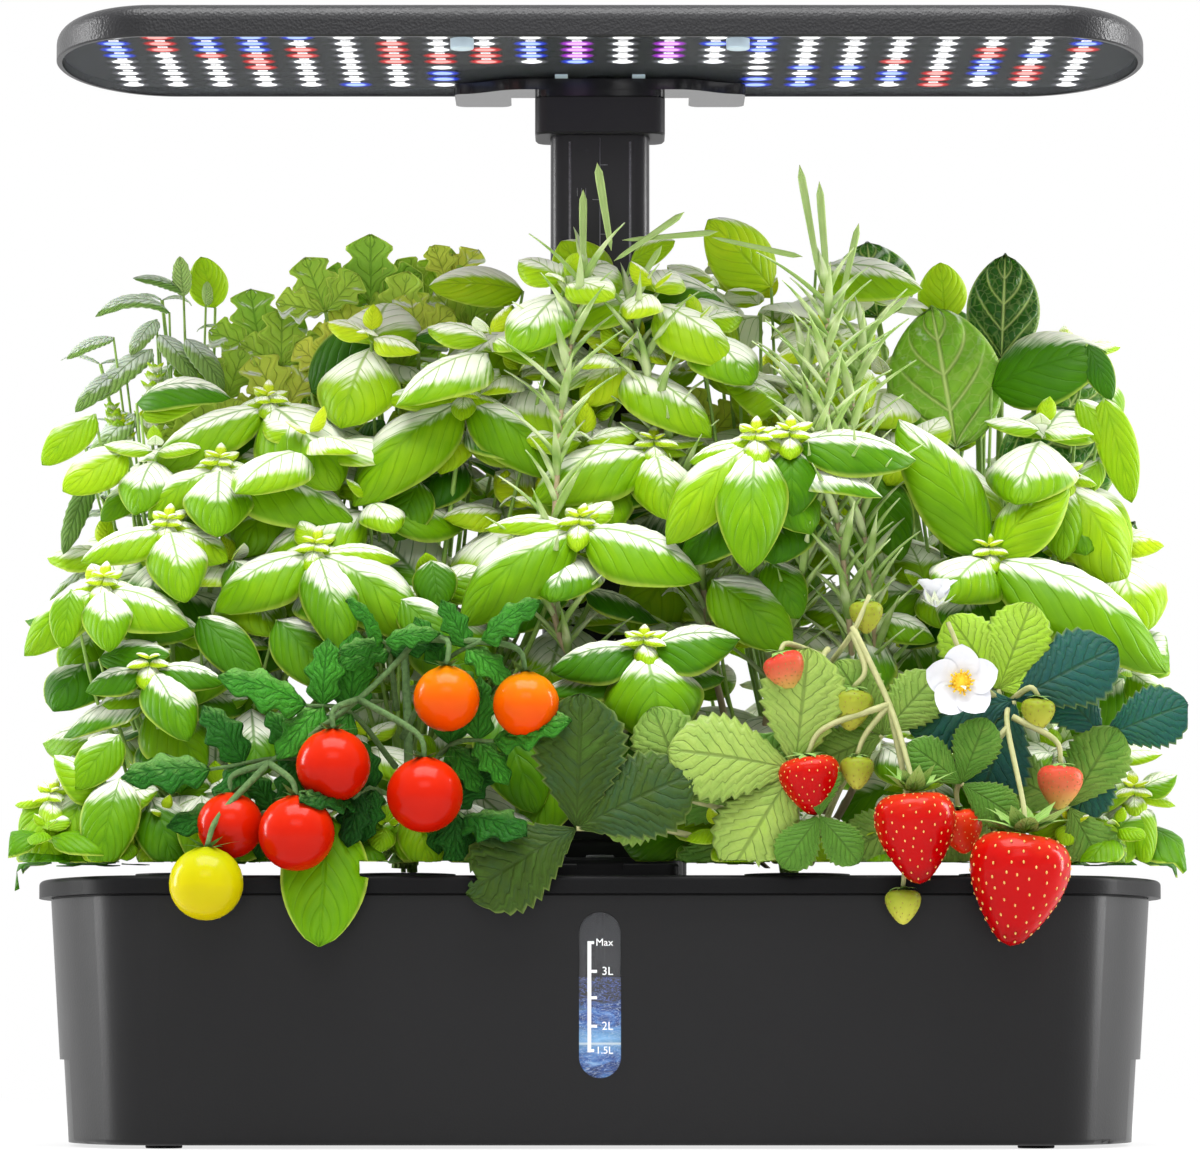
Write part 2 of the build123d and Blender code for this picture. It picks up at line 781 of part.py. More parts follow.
def make_pedestal():
    depth = pedestal_back_y - pedestal_front_y
    y = (pedestal_back_y + pedestal_front_y) / 2
    top_z = deck_top_z + pedestal_height
    shell = rounded(pedestal_width, depth, pedestal_corner, deck_top_z, top_z, y=y)
    shell = fillet(shell.edges().group_by(Axis.Z)[-1], pedestal_edge)
    shell -= rounded(pedestal_width - 2 * pedestal_wall, depth - 2 * pedestal_wall,
                     pedestal_corner - pedestal_wall, deck_top_z, top_z - pedestal_wall, y=y)
    around = 2 * collar_gap
    shell -= rounded(outer_width + around, outer_depth + around,
                     column_corner + column_gap + outer_wall + collar_gap, deck_top_z, top_z, y=column_y)
    # window for the power inlet's face
    width, _, height = jack_body
    jack_z = jack_centre_z() - height / 2
    return shell - block(width + 2 * jack_gap, 2 * pedestal_wall + 1, jack_z - jack_gap,
                         jack_z + height + jack_gap, y=pedestal_back_y - pedestal_wall / 2)


def jack_centre_z():
    return deck_top_z + jack_rest + jack_body[2] / 2


def make_jack():
    width, depth, height = jack_body
    low_z = jack_centre_z() - height / 2
    body = block(width, depth, low_z, low_z + height, y=pedestal_back_y - depth / 2)
    bore = Cylinder(jack_radius, jack_bore_depth, rotation=(90, 0, 0))
    body -= Pos(0, pedestal_back_y - jack_bore_depth / 2, jack_centre_z()) * bore
    rest_depth = depth - pedestal_wall - 2
    rest_y = pedestal_back_y - depth + rest_depth / 2
    return body + block(width - 2, rest_depth, deck_top_z, low_z, y=rest_y)


def button_places():
    return [(step * button_pitch, panel_y - button_offset) for step in (-1, 0, 1)]


def make_panel():
    panel = rounded(panel_width, panel_depth, panel_corner, deck_top_z, panel_top_z, y=panel_y)
    panel = fillet(panel.edges().group_by(Axis.Z)[-1], panel_edge)
    panel -= rounded(panel_width - 2 * panel_wall, panel_depth - 2 * panel_wall,
                     panel_corner - panel_wall, deck_top_z, panel_roof_z, y=panel_y)
    for x, y in button_places():
        panel -= disc(button_radius + button_gap, panel_roof_z, panel_top_z, x, y)
        low, high = button_radius + button_dish[0], button_radius + button_dish[1]
        panel -= Pos(x, y, panel_top_z) * Cone(low, high, button_dish[2])
    return panel


def make_button(x, y):
    cap_z = panel_top_z + button_proud
    flange_radius = button_radius + button_flange_reach
    cap = disc(button_radius, panel_roof_z - button_flange, cap_z, x, y)
    cap = fillet(cap.edges().group_by(Axis.Z)[-1], button_edge)
    return cap + disc(flange_radius, panel_roof_z - button_flange, panel_roof_z, x, y)


def make_board():
    """Circuit board on the deck's posts, with a tact switch under each button."""
    low_z = deck_top_z + board_post
    top_z = low_z + board_thickness
    width = panel_width - 2 * (panel_wall + board_gap[0])
    depth = panel_depth - 2 * (panel_wall + board_gap[1])
    board = block(width, depth, low_z, top_z, y=panel_y)
    switch_top_z = panel_roof_z - button_flange - button_travel - switch_gap
    for x, y in button_places():
        board += block(switch_size, switch_size, top_z, switch_top_z, x, y)
    return board


# ---- Lamp ----


def lamp_plan(inset, z):
    """Lamp outline: straight sides and half-ellipse ends."""
    straight = lamp_straight / 2
    end = lamp_length / 2 - straight - inset
    half = lamp_depth / 2 - inset
    edges = [
        Line((-straight, -half, z), (straight, -half, z)),
        EllipticalCenterArc((straight, 0, z), end, half, start_angle=-90, arc_size=180),
        Line((straight, half, z), (-straight, half, z)),
        EllipticalCenterArc((-straight, 0, z), end, half, start_angle=90, arc_size=180),
    ]
    return make_face(edges)


def lamp_slab(inset, low_z, high_z):
    return extrude(lamp_plan(inset, low_z), high_z - low_z, dir=(0, 0, 1))


def board_posts():
    for step in range(6):
        for side in (-1, 1):
            yield (step - 2.5) * board_post_pitch, side * lamp_post_y


def make_lamp_shell():
    shell = lamp_slab(0, lamp_bottom_z, lamp_top_z)
    shell = fillet(shell.edges().group_by(Axis.Z)[-1], lamp_edge)
    shell = chamfer(shell.edges().group_by(Axis.Z)[0], lamp_rim_edge)
    roof_z = lamp_top_z - lamp_roof
    hollow = lamp_slab(lamp_rim, lamp_bottom_z, roof_z)
    shell -= chamfer(hollow.edges().group_by(Axis.Z)[-1], lamp_inner_edge)
    for x, y in board_posts():
        shell += disc(lamp_post_radius, board_top_z, roof_z + lamp_post_root, x, y)
    for side in (1, -1):
        x = side * screw_x
        shell += disc(screw_radius + lamp_boss_wall, board_top_z, roof_z + lamp_post_root, x, screw_y)
        shell -= disc(screw_radius + screw_bite, board_top_z, roof_z - screw_hole_end, x, screw_y)
    return shell


def screw_holes(low_z, high_z):
    clear = screw_radius + screw_hole_gap
    return [disc(clear, low_z, high_z, side * screw_x, screw_y) for side in (1, -1)]


def make_led_board():
    board = lamp_slab(lamp_rim + board_rim_gap, board_bottom_z, board_top_z)
    for hole in screw_holes(board_bottom_z, board_top_z):
        board -= hole
    return board - disc(coil_radius + coil_gap, board_bottom_z, board_top_z, 0, column_y)


def make_led_chips():
    width, depth, height = led_chip
    chips = []
    for column in range(led_columns):
        x = (column - (led_columns - 1) / 2) * led_pitch_x
        for row in range(led_rows):
            y = (row - (led_rows - 1) / 2) * led_pitch_y
            over_bracket = abs(x) < bracket_half_width + led_pitch_x / 4 and y > bracket_front_y - led_pitch_y
            if not over_bracket:
                chips.append(block(width, depth, led_bottom_z, board_bottom_z, x, y))
    return chips


def make_lens():
    lens = lamp_slab(lamp_rim + lens_gap, lens_bottom_z, lens_top_z)
    # narrow lip that stands off the board along the front and back
    for side in (1, -1):
        y = side * (lamp_depth / 2 - lamp_rim - lens_gap - lens_lip_inset)
        lens += block(lamp_straight - 2 * lens_lip_end, lens_lip, lens_top_z, board_bottom_z, y=y)
    for hole in screw_holes(lens_bottom_z, lens_top_z):
        lens -= hole
    return lens - disc(coil_radius + coil_gap, lens_bottom_z, lens_top_z, 0, column_y)


def make_lens_posts():
    posts = []
    y = -lamp_depth / 2 + lens_post_inset
    for side in (1, -1):
        post = disc(post_radius, lens_bottom_z - post_length, lens_bottom_z, side * lens_post_x, y)
        posts.append(fillet(post.edges().group_by(Axis.Z)[0], post_edge))
    return posts


def bracket_outline():
    half, end = bracket_half_width, bracket_end_y
    inner, lobe, notch = bracket_lobe_inner, bracket_lobe_y, bracket_notch_y
    tongue, tongue_y = cap_width / 2, cap_front_y + cap_depth
    straight, front_y, ahead = bracket_straight, bracket_front_y, ((1, 0), (1, 0))
    front = [
        Spline((-half, end), (-straight, front_y), tangents=ahead),
        Line((-straight, front_y), (straight, front_y)),
        Spline((straight, front_y), (half, end), tangents=ahead),
    ]
    rest = Polyline(
        (half, end), (half, lobe), (inner, lobe), (inner, notch), (tongue, notch), (tongue, tongue_y),
        (-tongue, tongue_y), (-tongue, notch), (-inner, notch), (-inner, lobe), (-half, lobe), (-half, end),
    )
    return make_face([*front, rest])


def make_bracket():
    plate = Pos(0, 0, bracket_bottom_z) * extrude(bracket_outline(), bracket_thickness)
    corners = plate.edges().filter_by(Axis.Z)
    lobes = corners.filter_by(lambda e: e.center().Y > bracket_lobe_y - 0.1)
    plate = fillet(lobes, bracket_lobe_radius)
    corners = plate.edges().filter_by(Axis.Z)
    tips = corners.filter_by(lambda e: abs(e.center().X) > bracket_half_width - 0.1 and e.center().Y < bracket_end_y + 0.1)
    plate = fillet(tips, bracket_tip_radius)
    neck = rounded(cap_width, cap_depth, cap_corner, neck_bottom_z, bracket_bottom_z + 1, y=cap_y)
    plate += neck
    step = cap_reveal_inset
    plate += rounded(cap_width - 2 * step, cap_depth - 2 * step, cap_corner - step, cap_top_z,
                     neck_bottom_z, y=cap_y)
    # packing that carries the lens over the plate, and the lead's way up
    plate += rounded(*pad_size, pad_corner, lamp_bottom_z - lens_recess, lens_bottom_z, y=pad_y)
    for side in (1, -1):
        x = side * screw_x
        plate -= disc(screw_radius + screw_plate_gap, cap_top_z, lens_bottom_z, x, screw_y)
        plate -= disc(screw_head_radius + screw_hole_gap, cap_top_z, screw_seat_z, x, screw_y)
    return plate - disc(coil_radius + coil_gap, cap_top_z, lens_bottom_z, 0, column_y)


def make_screws():
    screws = []
    end_z = lamp_top_z - lamp_roof - screw_tip_z
    for side in (1, -1):
        x = side * screw_x
        head = disc(screw_head_radius, screw_seat_z - screw_head, screw_seat_z, x, screw_y)
        screws.append(head + disc(screw_radius, screw_seat_z, end_z, x, screw_y))
    return screws


def make_latches():
    """Two pale tongues that stand out under the lens, in front of the bracket."""
    width, depth = latch_size
    front_y = bracket_front_y - latch_reach
    return [
        block(width, depth, lamp_bottom_z, lens_bottom_z, side * latch_x, front_y + depth / 2)
        for side in (1, -1)
    ]


def make_cap():
    cap = rounded(cap_width, cap_depth, cap_corner, cap_bottom_z, cap_top_z, y=cap_y)
    cap = chamfer(cap.edges().group_by(Axis.Z)[0], cap_edge)
    fit = cap_fit
    cap -= rounded(column_width + 2 * fit, column_depth + 2 * fit, column_corner + fit,
                   cap_bottom_z, cap_bottom_z + cap_socket, y=column_y)
    return cap - disc(coil_radius + coil_gap, cap_bottom_z, cap_top_z, 0, column_y)


def make_lamp_lead():
    """Curly lead inside the column, as the tube that its turns fill."""
    return disc(coil_radius, deck_top_z + coil_low_end, board_bottom_z - coil_high_end, 0, column_y)


# ---- Write every node ----

front_y = -half_depth - foliage_front
front, middle, rear = (front_y, -23.6), (-23.0, 23.0), (23.6, half_depth + foliage_back)
outer_x, split_x = half_length + foliage_side, (basket_inner_x + basket_outer_x) / 2
left_outer, left_inner = (-outer_x, -split_x - 1), (-split_x, -1.0)
right_inner, right_outer = (1.0, split_x), (split_x + 1, outer_x)
fruit_front = (-half_depth + fruit_inset, -23.6)
beside_column = outer_width / 2 + collar_wall + 1.5

# name, x band, y band, whorls of leaves (height above the deck, share of the cell)
plants = (
    ("basil_front_left", left_outer, front, ((46, 1.0), (76, 0.85), (104, 0.6))),
    ("tomato_plant", left_inner, fruit_front, ((40, 1.0), (84, 0.7))),
    ("strawberry_plant_left", right_inner, fruit_front, ((26, 1.0), (44, 0.6))),
    ("strawberry_plant_right", right_outer, fruit_front, ((26, 1.0), (44, 0.6))),
    ("basil_left", left_outer, middle, ((60, 0.9), (100, 1.0), (144, 0.8))),
    ("basil_centre", left_inner, middle, ((80, 0.8), (140, 1.0), (200, 0.9))),
    ("rosemary", right_inner, middle, ((60, 0.5), (130, 0.7), (200, 0.5))),
    ("basil_right", right_outer, middle, ((70, 0.9), (120, 1.0), (160, 0.8))),
    ("mint", left_outer, rear, ((90, 0.8), (150, 1.0), (210, 0.7))),
    ("parsley", (left_inner[0], -beside_column), rear, ((90, 0.7), (160, 0.9), (230, 1.0))),
    ("basil_rear", (beside_column, right_inner[1]), rear, ((90, 0.7), (160, 0.9), (230, 1.0))),
    ("spinach", right_outer, rear, ((80, 0.7), (150, 0.9), (225, 1.0))),
)


def stem_tip(name):
    """Top of a plant's stem, where its fruit stalk starts."""
    for place, plant in zip(basket_places(), plants):
        if plant[0] == name:
            return (*place, deck_top_z + plant[3][-1][0] + leaf_thickness / 2 + stalk_radius + stalk_gap)


# Each point of a truss is x, how far it hangs in front of the tank, and its height.
# name, fruit, plant, main stalk after the stem's tip, fruits (stalk point, x, front, top, radius)
trusses = (
    (
        "tomato_truss",
        tomato,
        "tomato_plant",
        ((-62, -8, 174), (-82, 0, 152), (-112, 6, 130)),
        (
            (1, -52, 4, 163, 11.2),
            (1, -25, 4, 161, 11.2),
            (2, -90, 10, 141.5, 12.5),
            (2, -59, 12, 132, 12.8),
            (3, -102, 15, 119, 12.8),
            (3, -125, 4.5, 120, 11.2),
            (3, -132, 18, 101, 12.4),
        ),
    ),
    (
        "strawberry_truss_left",
        strawberry,
        "strawberry_plant_left",
        ((76, -16, 168), (86, -4, 177), (98, 4, 150), (96, 6.5, 100)),
        (
            (1, 61, 4, 167, 7.1),
            (1, 75, -2, 162, 5.1),
            (2, 91, -10, 186, 5.8),
            (2, 86, 0, 155, 7.3),
            (2, 70, 6, 132, 10.5),
            (3, 87, 4, 132, 5.8),
            (3, 105, 19, 119, 13.8),
            (4, 97, 11, 87, 6.1),
        ),
    ),
    (
        "strawberry_truss_right",
        strawberry,
        "strawberry_plant_right",
        ((140, -14, 160), (138, 4, 142)),
        (
            (1, 149, 0, 152, 5.8),
            (2, 121, 4, 114, 7.8),
            (2, 142, 22, 105, 17.0),
            (2, 156, 4, 129, 7.8),
        ),
    ),
)

nodes = {
    "tank": make_tank(),
    "level_window": make_window(),
    "tank_feet": make_feet(),
    "deck": make_deck(),
    "inlet_flap": make_flap(),
    "column_tube": make_column_tube(),
    "column_collar": make_collar(),
    "column_pedestal": make_pedestal(),
    "power_inlet": make_jack(),
    "control_panel": make_panel(),
    "control_board": make_board(),
    "pump_housing": make_pump(),
    "pump_cover": make_pump_cover(),
    "pump_impeller": make_impeller(),
    "pump_hanger": make_hanger(),
    "pump_lead": make_pump_lead(),
    "inner_column": make_inner_column(),
    "column_glides": make_glides(),
    "column_cap": make_cap(),
    "lamp_bracket": make_bracket(),
    "bracket_screws": make_screws(),
    "bracket_latches": make_latches(),
    "lamp_shell": make_lamp_shell(),
    "led_board": make_led_board(),
    "led_chips": make_led_chips(),
    "lamp_lens": make_lens(),
    "lens_posts": make_lens_posts(),
    "lamp_lead": make_lamp_lead(),
}
for name, place in zip(("light_button", "power_button", "pump_button"), button_places()):
    nodes[name] = make_button(*place)
for number, (place, plant) in enumerate(zip(basket_places(), plants), start=1):
    name, across, along, whorls = plant
    nodes[f"basket_{number:02d}"] = make_basket(*place)
    nodes[name] = [make_sponge(*place), make_plant(*place, across + along, whorls)]

for name, fruit_shape, plant, rest_of_stalk, fruits in trusses:
    nodes[name] = make_truss(fruit_shape, stem_tip(plant), rest_of_stalk, fruits)

os.makedirs("parts", exist_ok=True)
for name, shape in nodes.items():
    solids = shape if isinstance(shape, list) else [shape]
    export_step(Compound(children=solids) if len(solids) > 1 else solids[0], f"parts/{name}.step")
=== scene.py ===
import math
import random

import bmesh
import bpy
import numpy as np
from mathutils import Matrix, Vector


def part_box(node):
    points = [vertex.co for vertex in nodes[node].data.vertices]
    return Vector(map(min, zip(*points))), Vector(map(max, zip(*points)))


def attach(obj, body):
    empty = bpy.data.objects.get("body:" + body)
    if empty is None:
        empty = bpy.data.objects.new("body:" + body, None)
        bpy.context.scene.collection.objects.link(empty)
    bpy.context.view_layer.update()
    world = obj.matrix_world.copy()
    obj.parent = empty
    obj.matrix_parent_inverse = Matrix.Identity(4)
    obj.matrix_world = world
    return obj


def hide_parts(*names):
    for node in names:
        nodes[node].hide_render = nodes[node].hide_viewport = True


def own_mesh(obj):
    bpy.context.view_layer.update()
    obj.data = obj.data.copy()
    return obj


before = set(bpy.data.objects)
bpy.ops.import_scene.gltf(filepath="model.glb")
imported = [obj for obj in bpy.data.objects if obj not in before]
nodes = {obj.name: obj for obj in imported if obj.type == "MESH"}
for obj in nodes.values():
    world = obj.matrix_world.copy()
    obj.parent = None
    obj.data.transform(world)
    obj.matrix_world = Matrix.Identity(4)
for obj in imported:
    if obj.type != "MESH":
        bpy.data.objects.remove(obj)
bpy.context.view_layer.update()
mm = 0.001
print("frame loaded", len(nodes), "nodes")

studio = {
    "frameWidth": 1200, "frameHeight": 1151,  # pixels
    "floorSize": 12.0, "cameraPlace": (0, -1.880, 0.0371), "cameraPitch": 4.9886, "focalLength": 159.3,
    "sensorWidth": 36.0, "diffuseLevel": 0.4, "floorShare": 0.75,
    # name, place, size, watts, aimed at
    "lights": (
        ("overhead", (0.0, -0.5, 1.7), (1.6, 1.0), 46.0, (0, 0, 0.15)),
        ("left", (-1.5, 0.34, 0.4), (0.3, 1.3), 22.0, (0, 0, 0.12)),
        ("right", (1.5, 0.34, 0.4), (0.3, 1.3), 24.0, (0, 0, 0.12)),
        ("front", (0.0, -2.6, 1.6), (1.6, 0.9), 13.0, (0, 0, 0.15)),
    ),
}


def atPixel(across, down, y):
    # where the line of sight through a pixel meets the upright plane y, in whole millimetres
    focal = studio["focalLength"] / studio["sensorWidth"] * studio["frameWidth"]
    pitch = math.radians(studio["cameraPitch"])
    side = (across - studio["frameWidth"] / 2) / focal
    rise = (studio["frameHeight"] / 2 - down) / focal
    cameraX, cameraY, cameraZ = (value / mm for value in studio["cameraPlace"])
    reach = (y - cameraY) / (math.cos(pitch) - rise * math.sin(pitch))
    return (round(cameraX + side * reach), y,
            round(cameraZ + (math.sin(pitch) + rise * math.cos(pitch)) * reach))


def newObject(name, data):
    piece = bpy.data.objects.new(name, data)
    bpy.context.scene.collection.objects.link(piece)
    return piece


def evaluatedMesh(source):
    graph = bpy.context.evaluated_depsgraph_get()
    return bpy.data.meshes.new_from_object(source.evaluated_get(graph), depsgraph=graph)


# Node tree helpers

def addNode(tree, kind, inputs=None, **settings):
    node = tree.nodes.new(kind)
    for key, value in settings.items():
        setattr(node, key, value)
    for key, value in (inputs or {}).items():
        if isinstance(value, bpy.types.NodeSocket):
            tree.links.new(value, node.inputs[key])
        else:
            node.inputs[key].default_value = value
    return node


def maths(tree, operation, first, second=0.0, third=0.0):
    node = addNode(tree, "ShaderNodeMath", {0: first, 1: second, 2: third}, operation=operation)
    return node.outputs[0]


def remap(tree, value, low, high, newLow=0.0, newHigh=1.0, smooth=True):
    kind = "SMOOTHSTEP" if smooth else "LINEAR"
    inputs = {"Value": value, "From Min": low, "From Max": high, "To Min": newLow, "To Max": newHigh}
    return addNode(tree, "ShaderNodeMapRange", inputs, interpolation_type=kind).outputs[0]


def mixColour(tree, share, first, second, blend="MIX"):
    node = addNode(tree, "ShaderNodeMix", data_type="RGBA", blend_type=blend)
    for socket, value in ((node.inputs[0], share), (node.inputs[6], first), (node.inputs[7], second)):
        if isinstance(value, bpy.types.NodeSocket):
            tree.links.new(value, socket)
        else:
            socket.default_value = value
    return node.outputs[2]


def rgb(red, green, blue):
    # screen values 0 to 255 to a linear colour
    def linear(value):
        share = value / 255
        return share / 12.92 if share <= 0.04045 else ((share + 0.055) / 1.055) ** 2.4
    return (linear(red), linear(green), linear(blue), 1.0)


def ramp(tree, value, stops):
    node = addNode(tree, "ShaderNodeValToRGB", {"Fac": value})
    elements = node.color_ramp.elements
    while len(elements) < len(stops):
        elements.new(0.5)
    for element, (place, colour) in zip(elements, stops):
        element.position = place
        element.color = colour
    return node.outputs["Color"]


def newMaterial(name, colour=(0.5, 0.5, 0.5, 1), roughness=0.5, **sockets):
    material = bpy.data.materials.new(name)
    material.use_nodes = True
    tree = material.node_tree
    shader = tree.nodes["Principled BSDF"]
    shader.inputs["Base Color"].default_value = colour
    shader.inputs["Roughness"].default_value = roughness
    for key, value in sockets.items():
        shader.inputs[key.replace("_", " ")].default_value = value
    return material, tree, shader


def newGroup(name, inputs, outputs):
    tree = bpy.data.node_groups.new(name, "ShaderNodeTree")
    kinds = {"value": "NodeSocketFloat", "colour": "NodeSocketColor", "vector": "NodeSocketVector"}
    for label, kind, value in inputs:
        socket = tree.interface.new_socket(label, in_out="INPUT", socket_type=kinds[kind])
        if value is not None:
            socket.default_value = value
    for label, kind in outputs:
        tree.interface.new_socket(label, in_out="OUTPUT", socket_type=kinds[kind])
    return tree, tree.nodes.new("NodeGroupInput").outputs, tree.nodes.new("NodeGroupOutput").inputs


def useGroup(tree, group, **values):
    node = addNode(tree, "ShaderNodeGroup", node_tree=group)
    for key, value in values.items():
        node.inputs[key.replace("_", " ")].default_value = value
    return node.outputs


# Shared shader effects

def makeMouldedGrain():
    # spark-eroded mould texture with a little handling sheen
    inputs = [("Colour", "colour", (0.03, 0.03, 0.03, 1)), ("Grain size", "value", 900.0),
              ("Depth", "value", 0.12), ("Roughness", "value", 0.45), ("Patchiness", "value", 0.06)]
    tree, given, out = newGroup("mouldedGrain", inputs, [("Colour", "colour"), ("Roughness", "value"),
                                                         ("Normal", "vector")])
    place = addNode(tree, "ShaderNodeTexCoord").outputs["Object"]
    fine = addNode(tree, "ShaderNodeTexNoise", {"Vector": place, "Scale": given["Grain size"], "Detail": 3.0})
    broad = addNode(tree, "ShaderNodeTexNoise", {"Vector": place, "Scale": 26.0, "Detail": 4.0})
    cells = addNode(tree, "ShaderNodeTexVoronoi", {"Vector": place, "Scale": given["Grain size"]})
    height = maths(tree, "ADD", fine.outputs["Fac"], cells.outputs["Distance"])
    bump = addNode(tree, "ShaderNodeBump", {"Strength": given["Depth"], "Distance": 0.0002, "Height": height})
    swing = maths(tree, "MULTIPLY", maths(tree, "SUBTRACT", broad.outputs["Fac"], 0.5), given["Patchiness"])
    tree.links.new(maths(tree, "MULTIPLY_ADD", swing, 2.0, given["Roughness"]), out["Roughness"])
    brighter = mixColour(tree, 1.0, given["Colour"], (1.25, 1.25, 1.25, 1), "MULTIPLY")
    spread = maths(tree, "MULTIPLY", broad.outputs["Fac"], 0.5)
    tree.links.new(mixColour(tree, spread, given["Colour"], brighter), out["Colour"])
    tree.links.new(bump.outputs["Normal"], out["Normal"])
    return tree


def makeLeafVeins():
    # a midrib and side veins that curve towards the tip, from the leaf's own UV map
    inputs = [("Side veins", "value", 6.0), ("Slope", "value", 2.2), ("Vein width", "value", 0.08),
              ("Curve", "value", 0.4), ("Net", "value", 0.0)]
    outputs = [(label, "value") for label in ("Vein", "Height", "Fibre", "Rim")]
    tree, given, out = newGroup("leafVeins", inputs, outputs)
    uv = addNode(tree, "ShaderNodeUVMap", uv_map="leafUv").outputs["UV"]
    split = addNode(tree, "ShaderNodeSeparateXYZ", {"Vector": uv})
    across = maths(tree, "ABSOLUTE", maths(tree, "MULTIPLY_ADD", split.outputs["X"], 2.0, -1.0))
    curved = maths(tree, "MULTIPLY", maths(tree, "POWER", across, 2.0), given["Curve"])
    lean = maths(tree, "MULTIPLY", maths(tree, "ADD", across, curved), given["Slope"])
    phase = maths(tree, "SUBTRACT", maths(tree, "MULTIPLY", split.outputs["Y"], given["Side veins"]), lean)
    wave = maths(tree, "PINGPONG", phase, 0.5)  # 0 on each side vein
    side = remap(tree, wave, 0.0, given["Vein width"], 1.0, 0.0)
    side = maths(tree, "MULTIPLY", side, remap(tree, across, 0.45, 0.95, 1.0, 0.1))
    rib = remap(tree, across, 0.01, 0.07, 1.0, 0.0)
    scaled = addNode(tree, "ShaderNodeMapping", {"Vector": uv, "Scale": (9.0, 14.0, 1.0)}).outputs[0]
    cells = addNode(tree, "ShaderNodeTexVoronoi", {"Vector": scaled, "Scale": 1.0},
                    feature="DISTANCE_TO_EDGE")
    net = maths(tree, "MULTIPLY", remap(tree, cells.outputs["Distance"], 0.0, 0.12, 1.0, 0.0), given["Net"])
    vein = maths(tree, "MAXIMUM", maths(tree, "MAXIMUM", rib, side), net)
    tree.links.new(vein, out["Vein"])
    swell = maths(tree, "MULTIPLY", maths(tree, "SINE", maths(tree, "MULTIPLY", wave, math.pi)), 0.6)
    tree.links.new(maths(tree, "SUBTRACT", swell, vein), out["Height"])
    strands = addNode(tree, "ShaderNodeCombineXYZ", {"X": maths(tree, "MULTIPLY", phase, 2.6),
                                                     "Y": maths(tree, "MULTIPLY", across, 1.4)}).outputs[0]
    fibre = addNode(tree, "ShaderNodeTexNoise", {"Vector": strands, "Scale": 1.0, "Detail": 3.0})
    tree.links.new(fibre.outputs["Fac"], out["Fibre"])
    tree.links.new(remap(tree, across, 0.9, 1.0), out["Rim"])
    return tree


mouldedGrain = makeMouldedGrain()
leafVeins = makeLeafVeins()


# Materials for the moulded, metal and clear parts

def makePlastic(name, colour, roughness=0.45, grain=900.0, depth=0.12, patchiness=0.06, gloss=0.2, **sockets):
    material, tree, shader = newMaterial(name, Specular_IOR_Level=gloss, **sockets)
    given = useGroup(tree, mouldedGrain, Colour=colour, Grain_size=grain, Depth=depth,
                     Roughness=roughness, Patchiness=patchiness)
    tree.links.new(given["Colour"], shader.inputs["Base Color"])
    tree.links.new(given["Roughness"], shader.inputs["Roughness"])
    tree.links.new(given["Normal"], shader.inputs["Normal"])
    return material


def makeClear(name, colour, alpha, roughness=0.05, depth=0.02):
    material = makePlastic(name, colour, roughness, 300.0, depth, 0.02)
    material.node_tree.nodes["Principled BSDF"].inputs["Alpha"].default_value = alpha
    return material


def makeSteel():
    material, tree, shader = newMaterial("screwSteel", (0.55, 0.55, 0.56, 1), 0.3, Metallic=1.0)
    place = addNode(tree, "ShaderNodeTexCoord").outputs["Object"]
    rings = addNode(tree, "ShaderNodeTexNoise", {"Vector": place, "Scale": 1400.0, "Detail": 2.0})
    tree.links.new(remap(tree, rings.outputs["Fac"], 0.3, 0.7, 0.22, 0.42), shader.inputs["Roughness"])
    return material


def makeGlow(name, halo, core=(1, 1, 1, 1), strength=2.4, haloLevel=0.9):
    # white phosphor in the middle, and a coloured halo that fades out round it
    material, tree, shader = newMaterial(name, (0, 0, 0, 1), 0.5)
    shader.inputs["Specular IOR Level"].default_value = 0.0
    radial = addNode(tree, "ShaderNodeAttribute", attribute_name="radial").outputs["Fac"]
    lit = remap(tree, radial, 0.46, 0.66, 1.0, 0.0)
    tree.links.new(mixColour(tree, lit, halo, core), shader.inputs["Emission Color"])
    tree.links.new(remap(tree, lit, 0.0, 1.0, haloLevel, strength, False), shader.inputs["Emission Strength"])
    fade = remap(tree, radial, 0.55, 1.0, 0.9, 0.0)
    tree.links.new(maths(tree, "MAXIMUM", lit, fade), shader.inputs["Alpha"])
    return material


